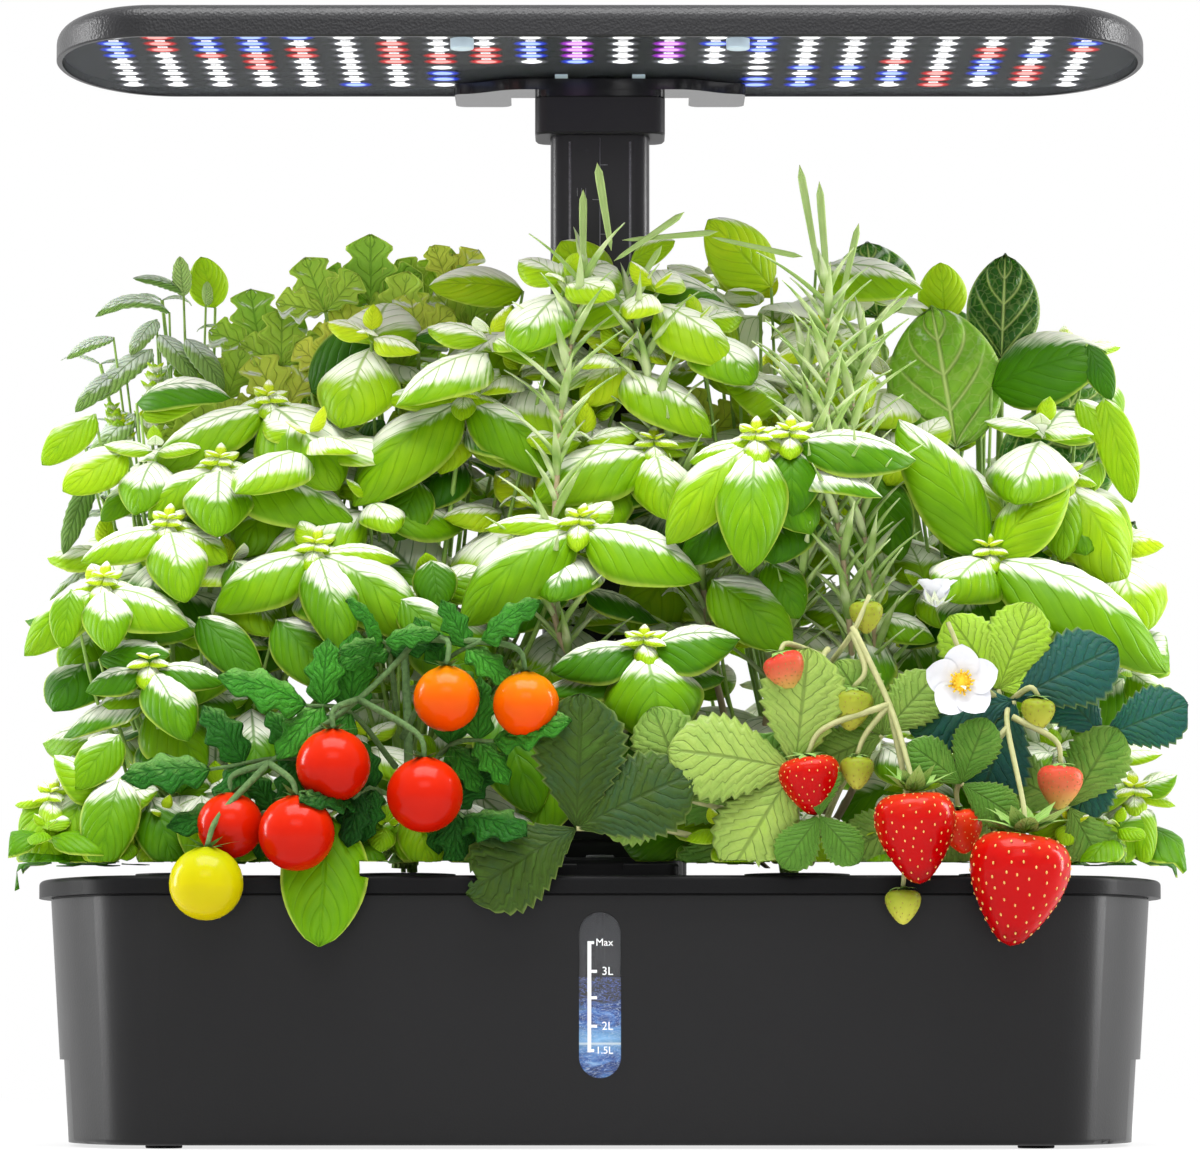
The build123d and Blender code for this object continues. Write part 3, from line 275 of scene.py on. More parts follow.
materials = {
    "tank": makePlastic("tankPlastic", rgb(26, 26, 27), 0.34, 1100.0, 0.10),
    "deck": makePlastic("deckPlastic", rgb(20, 20, 21), 0.42, 1100.0, 0.10, gloss=0.08),
    "column": makePlastic("columnPlastic", rgb(28, 27, 30), 0.30, 1300.0, 0.06, gloss=0.24),
    "cap": makePlastic("capPlastic", rgb(33, 32, 35), 0.44, 1100.0, 0.12),
    "panel": makePlastic("panelPlastic", rgb(36, 36, 38), 0.45, 1100.0, 0.12),
    "button": makePlastic("buttonPlastic", rgb(128, 128, 131), 0.5, 1300.0, 0.05),
    "pump": makePlastic("pumpPlastic", rgb(34, 35, 38), 0.5, 900.0, 0.15),
    "impeller": makePlastic("impellerPlastic", rgb(214, 212, 204), 0.45, 900.0, 0.05, gloss=0.4),
    "basket": makePlastic("basketPlastic", rgb(33, 33, 35), 0.5, 900.0, 0.12),
    "lamp": makePlastic("lampPlastic", rgb(30, 30, 32), 0.36, 1000.0, 0.6, 0.10, gloss=0.3),
    "bracket": makePlastic("bracketGloss", rgb(24, 24, 26), 0.18, 1300.0, 0.02, 0.04, gloss=0.36),
    "rubber": makePlastic("footRubber", rgb(26, 26, 26), 0.8, 1500.0, 0.2),
    "lead": makePlastic("leadRubber", rgb(24, 24, 25), 0.55, 1500.0, 0.1),
    "board": makePlastic("boardGreen", rgb(20, 78, 44), 0.3, 600.0, 0.05),
    "mask": makePlastic("solderMask", rgb(38, 38, 39), 0.8, 600.0, 0.05, gloss=0.0),
    "jack": makePlastic("jackBlack", rgb(22, 22, 23), 0.3, 900.0, 0.05),
    "pane": makeClear("paneClear", rgb(92, 93, 96), 0.40, 0.12),
    "lens": makeClear("lensClear", rgb(160, 168, 176), 0.05, 0.03),
    "post": makeClear("postFrosted", rgb(196, 214, 226), 0.8, 0.3, 0.05),
    "steel": makeSteel(),
    "ledWhite": makeGlow("ledWhite", rgb(150, 150, 156), strength=2.4, haloLevel=0.4),
    "ledBlue": makeGlow("ledBlue", rgb(30, 64, 240), rgb(170, 196, 255), 1.4),
    "ledRed": makeGlow("ledRed", rgb(232, 30, 34), rgb(255, 168, 162), 1.4),
    "ledPurple": makeGlow("ledPurple", rgb(190, 50, 230), rgb(242, 176, 255), 1.4),
}

nodeFinish = {
    "tank": "tank", "level_window": "pane", "tank_feet": "rubber", "deck": "deck", "inlet_flap": "deck",
    "column_tube": "column", "column_collar": "cap", "column_pedestal": "panel", "power_inlet": "jack",
    "control_panel": "panel", "control_board": "board", "pump_housing": "pump", "pump_cover": "pump",
    "pump_impeller": "impeller", "pump_hanger": "basket", "pump_lead": "lead", "inner_column": "column",
    "column_glides": "impeller", "column_cap": "cap", "lamp_bracket": "bracket",
    "bracket_screws": "steel", "bracket_latches": "post", "lamp_shell": "lamp", "led_board": "mask",
    "led_chips": "ledWhite", "lamp_lens": "lens", "lens_posts": "post", "light_button": "button",
    "power_button": "button", "pump_button": "button",
}
for number in range(1, 13):
    nodeFinish[f"basket_{number:02d}"] = "basket"
for name, finish in nodeFinish.items():
    mesh = nodes[name].data
    mesh.materials.clear()
    mesh.materials.append(materials[finish])
print("moulded parts finished", len(nodeFinish))


# Living materials

# pale is the colour of a painted highlight on faces that look up, and the number after it sets how much of it
# is painted
def makeLeafMaterial(name, tones, vein, pale, bloom=0.9, veinShare=0.2, bump=0.35, roughness=0.42,
                     sideVeins=6.0, slope=2.2, net=0.0, sheen=0.0, edge=(0.47, 0.66), rim=None,
                     veinWidth=0.08):
    material, tree, shader = newMaterial(name, roughness=roughness, Subsurface_Weight=0.1,
                                         Subsurface_Scale=0.003, Specular_IOR_Level=0.12)
    shader.inputs["Subsurface Radius"].default_value = (0.5, 1.0, 0.15)
    shader.inputs["Sheen Weight"].default_value = sheen
    given = useGroup(tree, leafVeins, Side_veins=sideVeins, Slope=slope, Vein_width=veinWidth, Net=net)
    tone = addNode(tree, "ShaderNodeAttribute", attribute_name="tone").outputs["Fac"]
    up = addNode(tree, "ShaderNodeAttribute", attribute_name="bloom").outputs["Fac"]
    place = addNode(tree, "ShaderNodeTexCoord").outputs["Object"]
    blotch = addNode(tree, "ShaderNodeTexNoise", {"Vector": place, "Scale": 70.0, "Detail": 3.0})
    grown = maths(tree, "MULTIPLY_ADD", given["Fibre"], 0.22, maths(tree, "SUBTRACT", tone, 0.11))
    shifted = maths(tree, "MULTIPLY_ADD", blotch.outputs["Fac"], 0.24, maths(tree, "SUBTRACT", grown, 0.12))
    colour = ramp(tree, shifted, [(index / (len(tones) - 1), shade) for index, shade in enumerate(tones)])
    colour = mixColour(tree, maths(tree, "MULTIPLY", given["Vein"], veinShare), colour, vein)
    # edges take the rim colour; where it is a light lime or pale green it is painted light shining through
    # the thin margin
    colour = mixColour(tree, maths(tree, "MULTIPLY", given["Rim"], 0.55), colour, rim or vein)
    # painted highlight: pale where the blade faces the lamp, with a ragged edge that runs along the side
    # veins
    ragged = maths(tree, "MULTIPLY_ADD", given["Fibre"], 0.34, maths(tree, "SUBTRACT", up, 0.17))
    lit = maths(tree, "MULTIPLY", remap(tree, ragged, edge[0], edge[1]), bloom)
    dark = maths(tree, "SUBTRACT", 1.0, maths(tree, "MULTIPLY", given["Vein"], 0.78))
    colour = mixColour(tree, maths(tree, "MULTIPLY", lit, dark), colour, pale)
    tree.links.new(colour, shader.inputs["Base Color"])
    ridges = addNode(tree, "ShaderNodeBump", {"Strength": bump, "Distance": 0.0009,
                                              "Height": given["Height"]})
    tree.links.new(ridges.outputs["Normal"], shader.inputs["Normal"])
    return material


def makeFruitSkin(name, tones, roughness=0.17, mottleScale=60.0):
    material, tree, shader = newMaterial(name, roughness=roughness, Specular_IOR_Level=0.12,
                                         Subsurface_Weight=0.06, Subsurface_Scale=0.003)
    shader.inputs["Subsurface Radius"].default_value = (1.0, 0.3, 0.1)
    height = addNode(tree, "ShaderNodeAttribute", attribute_name="tone").outputs["Fac"]
    place = addNode(tree, "ShaderNodeTexCoord").outputs["Object"]
    mottle = addNode(tree, "ShaderNodeTexNoise", {"Vector": place, "Scale": mottleScale, "Detail": 4.0})
    share = maths(tree, "MULTIPLY_ADD", mottle.outputs["Fac"], 0.35, maths(tree, "SUBTRACT", height, 0.17))
    colour = ramp(tree, share, [(index / (len(tones) - 1), shade) for index, shade in enumerate(tones)])
    tree.links.new(colour, shader.inputs["Base Color"])
    return material


def makeFibre(name, dark, light, scale=240.0, roughness=0.6, bump=0.5):
    material, tree, shader = newMaterial(name, roughness=roughness)
    place = addNode(tree, "ShaderNodeTexCoord").outputs["Object"]
    noise = addNode(tree, "ShaderNodeTexNoise", {"Vector": place, "Scale": scale, "Detail": 5.0})
    tree.links.new(mixColour(tree, noise.outputs["Fac"], dark, light), shader.inputs["Base Color"])
    ridges = addNode(tree, "ShaderNodeBump", {"Strength": bump, "Distance": 0.0006,
                                              "Height": noise.outputs["Fac"]})
    tree.links.new(ridges.outputs["Normal"], shader.inputs["Normal"])
    return material


# colour of the painted highlight on basil leaves
whitish = rgb(246, 250, 230)
# painted glow of light shining through the thin leaf edge
backlitRimLime = rgb(206, 226, 96)
basilTones = [rgb(32, 84, 2), rgb(64, 118, 2), rgb(106, 156, 4), rgb(152, 192, 14), rgb(206, 222, 30)]
living = {
    "basil": makeLeafMaterial("basilLeaf", basilTones, rgb(52, 104, 10), whitish, rim=backlitRimLime),
    "parsley": makeLeafMaterial(
        "parsleyLeaf", [rgb(92, 142, 40), rgb(138, 184, 60), rgb(186, 214, 74), rgb(226, 236, 90)],
        rgb(70, 112, 40), rgb(236, 242, 236), 0.85, 0.4, 0.6, 0.5, 5.0, 1.4, edge=(0.42, 0.6), rim=backlitRimLime),
    "mint": makeLeafMaterial(
        "mintLeaf", [rgb(86, 120, 54), rgb(126, 160, 80), rgb(176, 204, 124)],
        rgb(60, 92, 48), rgb(216, 228, 214), 0.8, 0.4, 0.7, 0.5, 9.0, 1.8, edge=(0.45, 0.62),
        rim=rgb(190, 208, 170)),
    "spinach": makeLeafMaterial(
        "spinachLeaf", [rgb(26, 62, 18), rgb(52, 104, 28), rgb(106, 166, 42), rgb(156, 202, 60)],
        rgb(196, 218, 132), rgb(226, 236, 222), 0.6, 0.85, 0.9, 0.32, 4.0, 1.4, 0.2, rim=rgb(176, 202, 110),
        veinWidth=0.12),
    "berryLeaf": makeLeafMaterial(
        "berryLeaf",
        [rgb(30, 76, 72), rgb(54, 76, 22), rgb(84, 130, 44), rgb(148, 174, 82), rgb(150, 196, 28)],
        rgb(44, 62, 20), rgb(206, 212, 190), 0.5, 0.45, 0.5, 0.5, 9.0, 2.4, 0.10, edge=(0.5, 0.8),
        rim=rgb(120, 140, 70)),
    "tomatoLeaf": makeLeafMaterial(
        "tomatoLeaf", [rgb(16, 56, 14), rgb(34, 96, 24), rgb(64, 142, 36), rgb(110, 178, 62)],
        rgb(22, 66, 18), rgb(150, 196, 110), 0.4, 0.5, 0.8, 0.6, 6.0, 1.8, 0.3, edge=(0.5, 0.9)),
    "calyx": makeLeafMaterial("calyxGreen", [rgb(60, 110, 24), rgb(96, 150, 36), rgb(140, 186, 60)],
                              rgb(60, 100, 30), rgb(200, 220, 150), 0.35, edge=(0.6, 0.9)),
    "rosemary": makeLeafMaterial(
        "rosemaryNeedle", [rgb(104, 142, 66), rgb(152, 184, 100), rgb(212, 228, 172)],
        rgb(196, 214, 130), rgb(240, 244, 216), 0.6, 0.5, 0.2, 0.45, 1.0, 0.0, edge=(0.4, 0.8)),
    "stem": makeFibre("greenStem", rgb(92, 138, 44), rgb(168, 200, 96)),
    "woody": makeFibre("woodyStem", rgb(140, 112, 84), rgb(196, 182, 146)),
    "truss": makeFibre("hairyStalk", rgb(44, 74, 32), rgb(112, 148, 84), 700.0, 0.8, 1.0),
    "runner": makeFibre("berryStalk", rgb(138, 150, 84), rgb(196, 190, 140), 300.0),
    "sponge": makeFibre("growSponge", rgb(22, 20, 18), rgb(58, 54, 50), 900.0, 0.95, 1.0),
    "tomatoRed": makeFruitSkin("tomatoRed", [rgb(160, 12, 0), rgb(192, 26, 2), rgb(204, 44, 6)]),
    "tomatoOrange": makeFruitSkin("tomatoOrange", [rgb(216, 58, 0), rgb(220, 88, 0), rgb(202, 124, 4)]),
    "tomatoYellow": makeFruitSkin("tomatoYellow", [rgb(176, 160, 0), rgb(192, 180, 0), rgb(168, 176, 12)]),
    "berryRed": makeFruitSkin("berryRed", [rgb(138, 0, 2), rgb(166, 0, 3), rgb(172, 2, 4), rgb(178, 6, 5),
                                           rgb(182, 12, 7), rgb(190, 44, 18)], 0.2),
    "berryOrange": makeFruitSkin("berryOrange", [rgb(200, 36, 8), rgb(212, 56, 16)], 0.3),
    "berryPink": makeFruitSkin("berryPink", [rgb(174, 164, 76), rgb(204, 108, 72), rgb(196, 58, 44)], 0.35),
    "berryGreen": makeFruitSkin("berryGreen", [rgb(190, 188, 76), rgb(162, 168, 54), rgb(126, 140, 34)], 0.4),
    "seedPale": makeFibre("seedPale", rgb(206, 150, 60), rgb(236, 200, 112), 500.0, 0.4, 0.1),
    "seedBrown": makeFibre("seedBrown", rgb(120, 96, 34), rgb(170, 140, 60), 500.0, 0.5, 0.1),
    "petal": makeFibre("petalWhite", rgb(206, 208, 216), rgb(232, 233, 238), 60.0, 0.6, 0.3),
    "stamen": makeFibre("stamenYellow", rgb(240, 180, 12), rgb(252, 222, 60), 900.0, 0.7, 0.8),
}
print("living materials made", len(living))


# Mesh parts: each is (vertices, faces, uv, tone, material name)

def unit(vector):
    vector = np.asarray(vector, float)
    return vector / (np.linalg.norm(vector) or 1.0)


def gridFaces(rows, columns, wrap=False):
    faces = []
    width = columns if wrap else columns + 1
    for row in range(rows):
        for column in range(columns):
            right = (column + 1) % width if wrap else column + 1
            faces.append((row * width + column, row * width + right,
                          (row + 1) * width + right, (row + 1) * width + column))
    return faces


outlines = {
    "ovate": lambda v: np.sin(math.pi * v**0.84) ** 0.58 * (1.02 - 0.06 * v),
    "round": lambda v: np.sin(math.pi * v**0.9) ** 0.55,
    "lance": lambda v: np.sin(math.pi * v**0.7) ** 1.2,
    "fan": lambda v: np.sin(math.pi * np.clip(v, 0, 1) ** 1.5) ** 0.62,
    "strap": lambda v: np.clip(1 - np.abs(2 * v - 1) ** 7, 0, 1) ** 0.5 * (0.55 + 0.45 * v),
    "sepal": lambda v: np.sin(math.pi * v**0.6) ** 1.0,
}


def blade(base, direction, length, width, outline="ovate", arch=60.0, cup=0.32, tone=0.5, up=(0, 0, 1),
          teeth=0, toothDepth=0.0, pucker=0.006, sideVeins=6, slope=2.2, rows=14, columns=8, twist=0.0,
          curl=0.0, material="basilLeaf", lobes=0, lobeDepth=0.0):
    # a leaf that leaves base along direction and turns down by arch degrees on the way to its tip
    ahead = unit(direction)
    side = unit(np.cross(ahead, up))
    above = np.cross(side, ahead)
    v = np.linspace(0, 1, rows + 1)
    turn = np.radians(arch) * v + np.radians(curl) * v**2
    tangents = np.cos(turn)[:, None] * ahead - np.sin(turn)[:, None] * above
    normals = np.cos(turn)[:, None] * above + np.sin(turn)[:, None] * ahead
    steps = (tangents[1:] + tangents[:-1]) / 2 * (length / rows)
    centres = np.asarray(base, float) + np.vstack([np.zeros(3), np.cumsum(steps, axis=0)])
    half = width / 2 * np.maximum(outlines[outline](v), 0.03)
    if teeth:
        saw = (v * teeth) % 1.0
        half = half * (1 - toothDepth * (1 - saw) * np.sin(math.pi * v) ** 0.3)
    if lobes:
        half = half * (1 - lobeDepth * (0.5 + 0.5 * np.cos(2 * math.pi * lobes * v)))
    u = np.linspace(-1, 1, columns + 1)
    roll = np.radians(twist) * v
    sides = np.cos(roll)[:, None] * side + np.sin(roll)[:, None] * normals
    lifts = np.cos(roll)[:, None] * normals - np.sin(roll)[:, None] * side
    height = -cup * half[:, None] * u[None, :] ** 2
    ripple = np.cos(2 * math.pi * (sideVeins * v[:, None] - slope * (np.abs(u) + 0.4 * u**2)[None, :]))
    height = height - pucker * length * ripple * np.sin(math.pi * np.abs(u))[None, :]
    height = height + 0.02 * length * (np.abs(u)[None, :] ** 0.5 - 0.5) * np.sin(math.pi * v)[:, None]
    vertices = (centres[:, None, :] + sides[:, None, :] * (half[:, None] * u[None, :])[:, :, None]
                + lifts[:, None, :] * height[:, :, None])
    uv = np.stack(np.meshgrid(0.5 + u / 2, v), axis=-1).reshape(-1, 2)
    return vertices.reshape(-1, 3), gridFaces(rows, columns), uv, np.full(len(uv), tone), material


def smoothLine(points, steps=6):
    # Catmull-Rom line through the points
    points = [np.asarray(point, float) for point in points]
    padded = [2 * points[0] - points[1], *points, 2 * points[-1] - points[-2]]
    line = []
    for index in range(1, len(padded) - 2):
        a, b, c, d = padded[index - 1:index + 3]
        for step in range(steps):
            t = step / steps
            line.append(0.5 * (2 * b + (c - a) * t + (2 * a - 5 * b + 4 * c - d) * t**2
                               + (3 * b - a - 3 * c + d) * t**3))
    line.append(points[-1])
    return np.array(line)


def tube(points, startRadius, endRadius, sides=6, steps=5, tone=0.5, material="greenStem"):
    line = smoothLine(points, steps)
    tangents = np.gradient(line, axis=0)
    reference = np.array([0.31, 0.95, 0.08])
    radii = np.linspace(startRadius, endRadius, len(line))
    rings = []
    for centre, tangent, radius in zip(line, tangents, radii):
        across = unit(np.cross(tangent, reference))
        other = unit(np.cross(across, tangent))
        angles = np.arange(sides) * 2 * math.pi / sides
        rings.append(centre + radius * (np.cos(angles)[:, None] * across + np.sin(angles)[:, None] * other))
    vertices = np.vstack([*rings, line[:1], line[-1:]])
    faces = [face[::-1] for face in gridFaces(len(line) - 1, sides, wrap=True)]
    last = (len(line) - 1) * sides
    for index in range(sides):
        faces.append((index, (index + 1) % sides, len(vertices) - 2))
        faces.append((last + (index + 1) % sides, last + index, len(vertices) - 1))
    uv = np.zeros((len(vertices), 2))
    return vertices, faces, uv, np.full(len(vertices), tone), material


def lathe(profile, sides=28, material="tomatoRed"):
    # profile is (radius, height) from the top down; tone runs from 1 at the top to 0 at the foot
    profile = np.asarray(profile, float)
    angles = np.arange(sides) * 2 * math.pi / sides
    ring = np.stack([np.cos(angles), np.sin(angles), np.zeros(sides)], axis=-1)
    vertices = [ring * radius + np.array([0, 0, height]) for radius, height in profile[1:-1]]
    vertices = np.vstack([*vertices, [[0, 0, profile[0][1]]], [[0, 0, profile[-1][1]]]])
    count = len(profile) - 2
    faces = [face[::-1] for face in gridFaces(count - 1, sides, wrap=True)]
    top, foot = len(vertices) - 2, len(vertices) - 1
    for index in range(sides):
        after = (index + 1) % sides
        faces.append((top, index, after))
        faces.append(((count - 1) * sides + after, (count - 1) * sides + index, foot))
    heights = vertices[:, 2]
    tone = (heights - heights.min()) / (np.ptp(heights) or 1)
    return vertices, faces, np.zeros((len(vertices), 2)), tone, material


def moved(part, offset, turn=None):
    vertices = part[0]
    if turn is not None:
        vertices = vertices @ np.array(turn.to_3x3()).T
    return (vertices + np.asarray(offset, float), *part[1:])


def joinParts(name, parts, clear=None, thickness=0.0):
    # parts in millimetres become one object in metres, with a UV map, a tone attribute and an attribute that
    # marks where a painted highlight goes on faces that look up
    vertices = np.vstack([part[0] for part in parts])
    pressed = np.zeros(len(vertices))  # how far each point had to give way
    if clear:
        vertices, pressed = clear(vertices)
    faces, offset, indices = [], 0, []
    names = []
    for part in parts:
        if part[4] not in names:
            names.append(part[4])
        kept = [tuple(index + offset for index in face) for face in part[1]]
        if clear:  # what would lie flat against the deck or column is left off
            kept = [face for face in kept if max(pressed[index] for index in face) < garden["mostPressed"]]
        faces += kept
        indices += [names.index(part[4])] * len(kept)
        offset += len(part[0])
    mesh = bpy.data.meshes.new(name)
    mesh.from_pydata(vertices * mm, [], faces)
    for label in names:
        mesh.materials.append(bpy.data.materials[label])
    mesh.polygons.foreach_set("material_index", indices)
    mesh.polygons.foreach_set("use_smooth", [True] * len(faces))
    uv = np.vstack([part[2] for part in parts])
    loops = np.zeros(len(mesh.loops), int)
    mesh.loops.foreach_get("vertex_index", loops)
    mesh.uv_layers.new(name="leafUv").data.foreach_set("uv", uv[loops].ravel())
    tones = np.concatenate([part[3] for part in parts])
    mesh.attributes.new("tone", "FLOAT", "POINT").data.foreach_set("value", tones.astype(np.float32))
    normals = np.zeros(len(mesh.vertices) * 3)
    mesh.vertices.foreach_get("normal", normals)
    # painted highlight: how much each point is painted pale as if lit from above, from how far its normal
    # faces up
    shaded = np.clip(0.62 + 1.1 * tones, 0, 1)  # darker leaves grow in the shade of the others
    if clear:  # and those just over the deck
        shaded = shaded * np.clip((vertices[:, 2] - garden["deckTop"] - 6) / 12, 0, 1)
    upward = np.clip(normals.reshape(-1, 3)[:, 2], 0, 1) * shaded
    mesh.attributes.new("bloom", "FLOAT", "POINT").data.foreach_set("value", upward.astype(np.float32))
    if pressed.any():
        shape = bmesh.new()
        shape.from_mesh(mesh)
        bmesh.ops.delete(shape, geom=[vertex for vertex in shape.verts if not vertex.link_faces])
        shape.to_mesh(mesh)
        shape.free()
    mesh.update()
    piece = newObject(name, mesh)
    if thickness:
        modifier = piece.modifiers.new("thickness", "SOLIDIFY")
        modifier.thickness = thickness * mm
        modifier.offset = -1
        applyModifiers(piece)
    return piece


def applyModifiers(piece):
    mesh = evaluatedMesh(piece)
    piece.modifiers.clear()
    piece.data = mesh
    return piece


# Geometry Nodes helpers

def newTree(name, inputs):
    tree = bpy.data.node_groups.new(name, "GeometryNodeTree")
    tree.is_modifier = True
    kinds = {"length": "NodeSocketFloat", "count": "NodeSocketInt", "material": "NodeSocketMaterial"}
    tree.interface.new_socket("Geometry", in_out="INPUT", socket_type="NodeSocketGeometry")
    for label, kind, value in inputs:
        socket = tree.interface.new_socket(label, in_out="INPUT", socket_type=kinds[kind])
        if value is not None:
            socket.default_value = value
    tree.interface.new_socket("Geometry", in_out="OUTPUT", socket_type="NodeSocketGeometry")
    return tree, tree.nodes.new("NodeGroupInput").outputs, tree.nodes.new("NodeGroupOutput").inputs


def runTree(name, source, tree, **values):
    modifier = source.modifiers.new(tree.name, "NODES")
    modifier.node_group = tree
    for item in tree.interface.items_tree:
        key = item.name.replace(" ", "_")
        if item.in_out == "INPUT" and key in values:
            modifier[item.identifier] = values[key]
    mesh = evaluatedMesh(source)
    bpy.data.objects.remove(source)
    piece = newObject(name, mesh)
    return piece


def pointObject(name, points):
    mesh = bpy.data.meshes.new(name)
    mesh.from_pydata([tuple(point) for point in points], [], [])
    source = newObject(name, mesh)
    return source


def vectorMaths(tree, operation, first, second=None, scale=None):
    inputs = {0: first, 1: second, 3: scale}
    used = {key: value for key, value in inputs.items() if value is not None}
    node = addNode(tree, "ShaderNodeVectorMath", used, operation=operation)
    return node.outputs["Value" if operation == "LENGTH" else "Vector"]


def finishTree(tree, geometry, material, out):
    real = addNode(tree, "GeometryNodeRealizeInstances", {"Geometry": geometry}).outputs[0]
    smooth = addNode(tree, "GeometryNodeSetShadeSmooth", {"Geometry": real}).outputs[0]
    done = addNode(tree, "GeometryNodeSetMaterial", {"Geometry": smooth, "Material": material}).outputs[0]
    tree.links.new(done, out["Geometry"])


# Lamp light: a low glowing dome over every chip

lamp = {
    "columns": 22, "rows": 9, "pitchX": 16.3, "pitchY": 11.5, "domeRadius": 6.6, "domeHeight": 0.12,
    "domeDepth": 0.80,  # share of the radius, front to back
    "bracketGap": 3.5,  # chips nearer the bracket than this are left out, as on the board
    # coloured chips come in short runs along each column, by rule from the seed; the rest are white
    "seed": 7, "runs": 2, "longestRun": 3, "shares": {"ledRed": 10, "ledBlue": 8, "ledPurple": 1},
}


def makeDomeTree():
    inputs = [("Radius", "length", 0.004), ("Height", "length", 0.0005), ("Depth share", "length", 0.8),
              ("Material", "material", None)]
    tree, given, out = newTree("ledDomes", inputs)
    ball = addNode(tree, "GeometryNodeMeshUVSphere", {"Segments": 20, "Rings": 10, "Radius": 1.0}).outputs[0]
    flat = vectorMaths(tree, "MULTIPLY", addNode(tree, "GeometryNodeInputPosition").outputs[0], (1, 1, 0))
    far = vectorMaths(tree, "LENGTH", flat)
    ball = addNode(tree, "GeometryNodeStoreNamedAttribute", {"Geometry": ball, "Name": "radial",
                                                                   "Value": far},
                   data_type="FLOAT", domain="POINT").outputs[0]
    deep = maths(tree, "MULTIPLY", given["Radius"], given["Depth share"])
    size = addNode(tree, "ShaderNodeCombineXYZ", {"X": given["Radius"], "Y": deep,
                                                  "Z": given["Height"]}).outputs[0]
    domes = addNode(tree, "GeometryNodeInstanceOnPoints", {"Points": given["Geometry"], "Instance": ball,
                                                           "Scale": size}).outputs[0]
    finishTree(tree, domes, given["Material"], out)
    return tree


def chipFinishes():
    dice = random.Random(lamp["seed"])
    finishOf = {}
    for column in range(lamp["columns"]):
        for _ in range(lamp["runs"]):
            finish = dice.choices(list(lamp["shares"]), list(lamp["shares"].values()))[0]
            first = dice.randrange(lamp["rows"])
            length = dice.randint(1, lamp["longestRun"])
            for row in range(first, min(first + length, lamp["rows"])):
                finishOf[(column, row)] = finish
    return finishOf


def makeLampGlow():
    tree = makeDomeTree()
    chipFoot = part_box("led_chips")[0].z
    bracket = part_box("lamp_bracket")
    finishOf = chipFinishes()
    places = {finish: [] for finish in ("ledWhite", "ledBlue", "ledRed", "ledPurple")}
    for column in range(lamp["columns"]):
        x = (column - (lamp["columns"] - 1) / 2) * lamp["pitchX"] * mm
        for row in range(lamp["rows"]):
            y = (row - (lamp["rows"] - 1) / 2) * lamp["pitchY"] * mm
            besideBracket = abs(x) > bracket[1].x + lamp["bracketGap"] * mm
            if besideBracket or y < bracket[0].y - lamp["pitchY"] * mm:
                places[finishOf.get((column, row), "ledWhite")].append((x, y, chipFoot))
    for finish, points in places.items():
        source = pointObject("ledPoints", points)
        piece = runTree(finish + "Domes", source, tree, Radius=lamp["domeRadius"] * mm,
                        Height=lamp["domeHeight"] * mm, Depth_share=lamp["domeDepth"],
                        Material=materials[finish])
        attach(piece, "lamp")


makeLampGlow()
print("lamp glow made")


# Level window: water behind it, a scale on it

gauge = {
    "waterTop": 58.0, "waveHeight": 1.2, "waterInset": 3.4,
    "barX": -3.6, "barWidth": 1.3, "barLow": 32.6, "barHigh": 70.1, "tickLength": 2.6, "tickWidth": 1.0,
    "ticks": ((69.6, "Max"), (59.9, "3L"), (51.0, ""), (41.4, "2L"), (33.2, "1.5L")),
    "letterSize": 3.8, "lettersEnd": 4.5, "thickness": 0.15, "standOff": 0.1,
}
tankSize = {"halfFlat": 149.4, "cornerRadius": 28.0, "draft": 5.3, "floor": 3.0}


def tankOutline(z, grow):
    # points round the tank's plan at height z: flat front and back, round corners, bowed ends
    low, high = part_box("tank")
    halfLength, halfDepth = high.x / mm, high.y / mm
    lean = -tankSize["draft"] * (high.z / mm - z) / ((high.z - low.z) / mm)
    run = halfLength - tankSize["halfFlat"]
    cornerY = halfDepth - tankSize["cornerRadius"]
    radius = tankSize["cornerRadius"]
    bow = (run**2 + cornerY**2 - radius**2) / (2 * (run - radius))
    full = math.acos(cornerY / (bow - radius))
    points = []
    for step in range(7):
        turn = full * step / 6
        points.append((tankSize["halfFlat"] + (radius + lean + grow) * math.sin(turn),
                       cornerY + (radius + lean + grow) * math.cos(turn)))
    for step in range(1, 6):
        share = 1 - step / 5
        y = points[6][1] * share
        across = math.sqrt((bow + lean + grow) ** 2 - y**2) - bow + halfLength
        points.append((across, y))
    quarter = points
    lower = [(x, -y) for x, y in reversed(quarter[:-1])]
    rightSide = quarter + lower
    return rightSide + [(-x, y) for x, y in reversed(rightSide)]


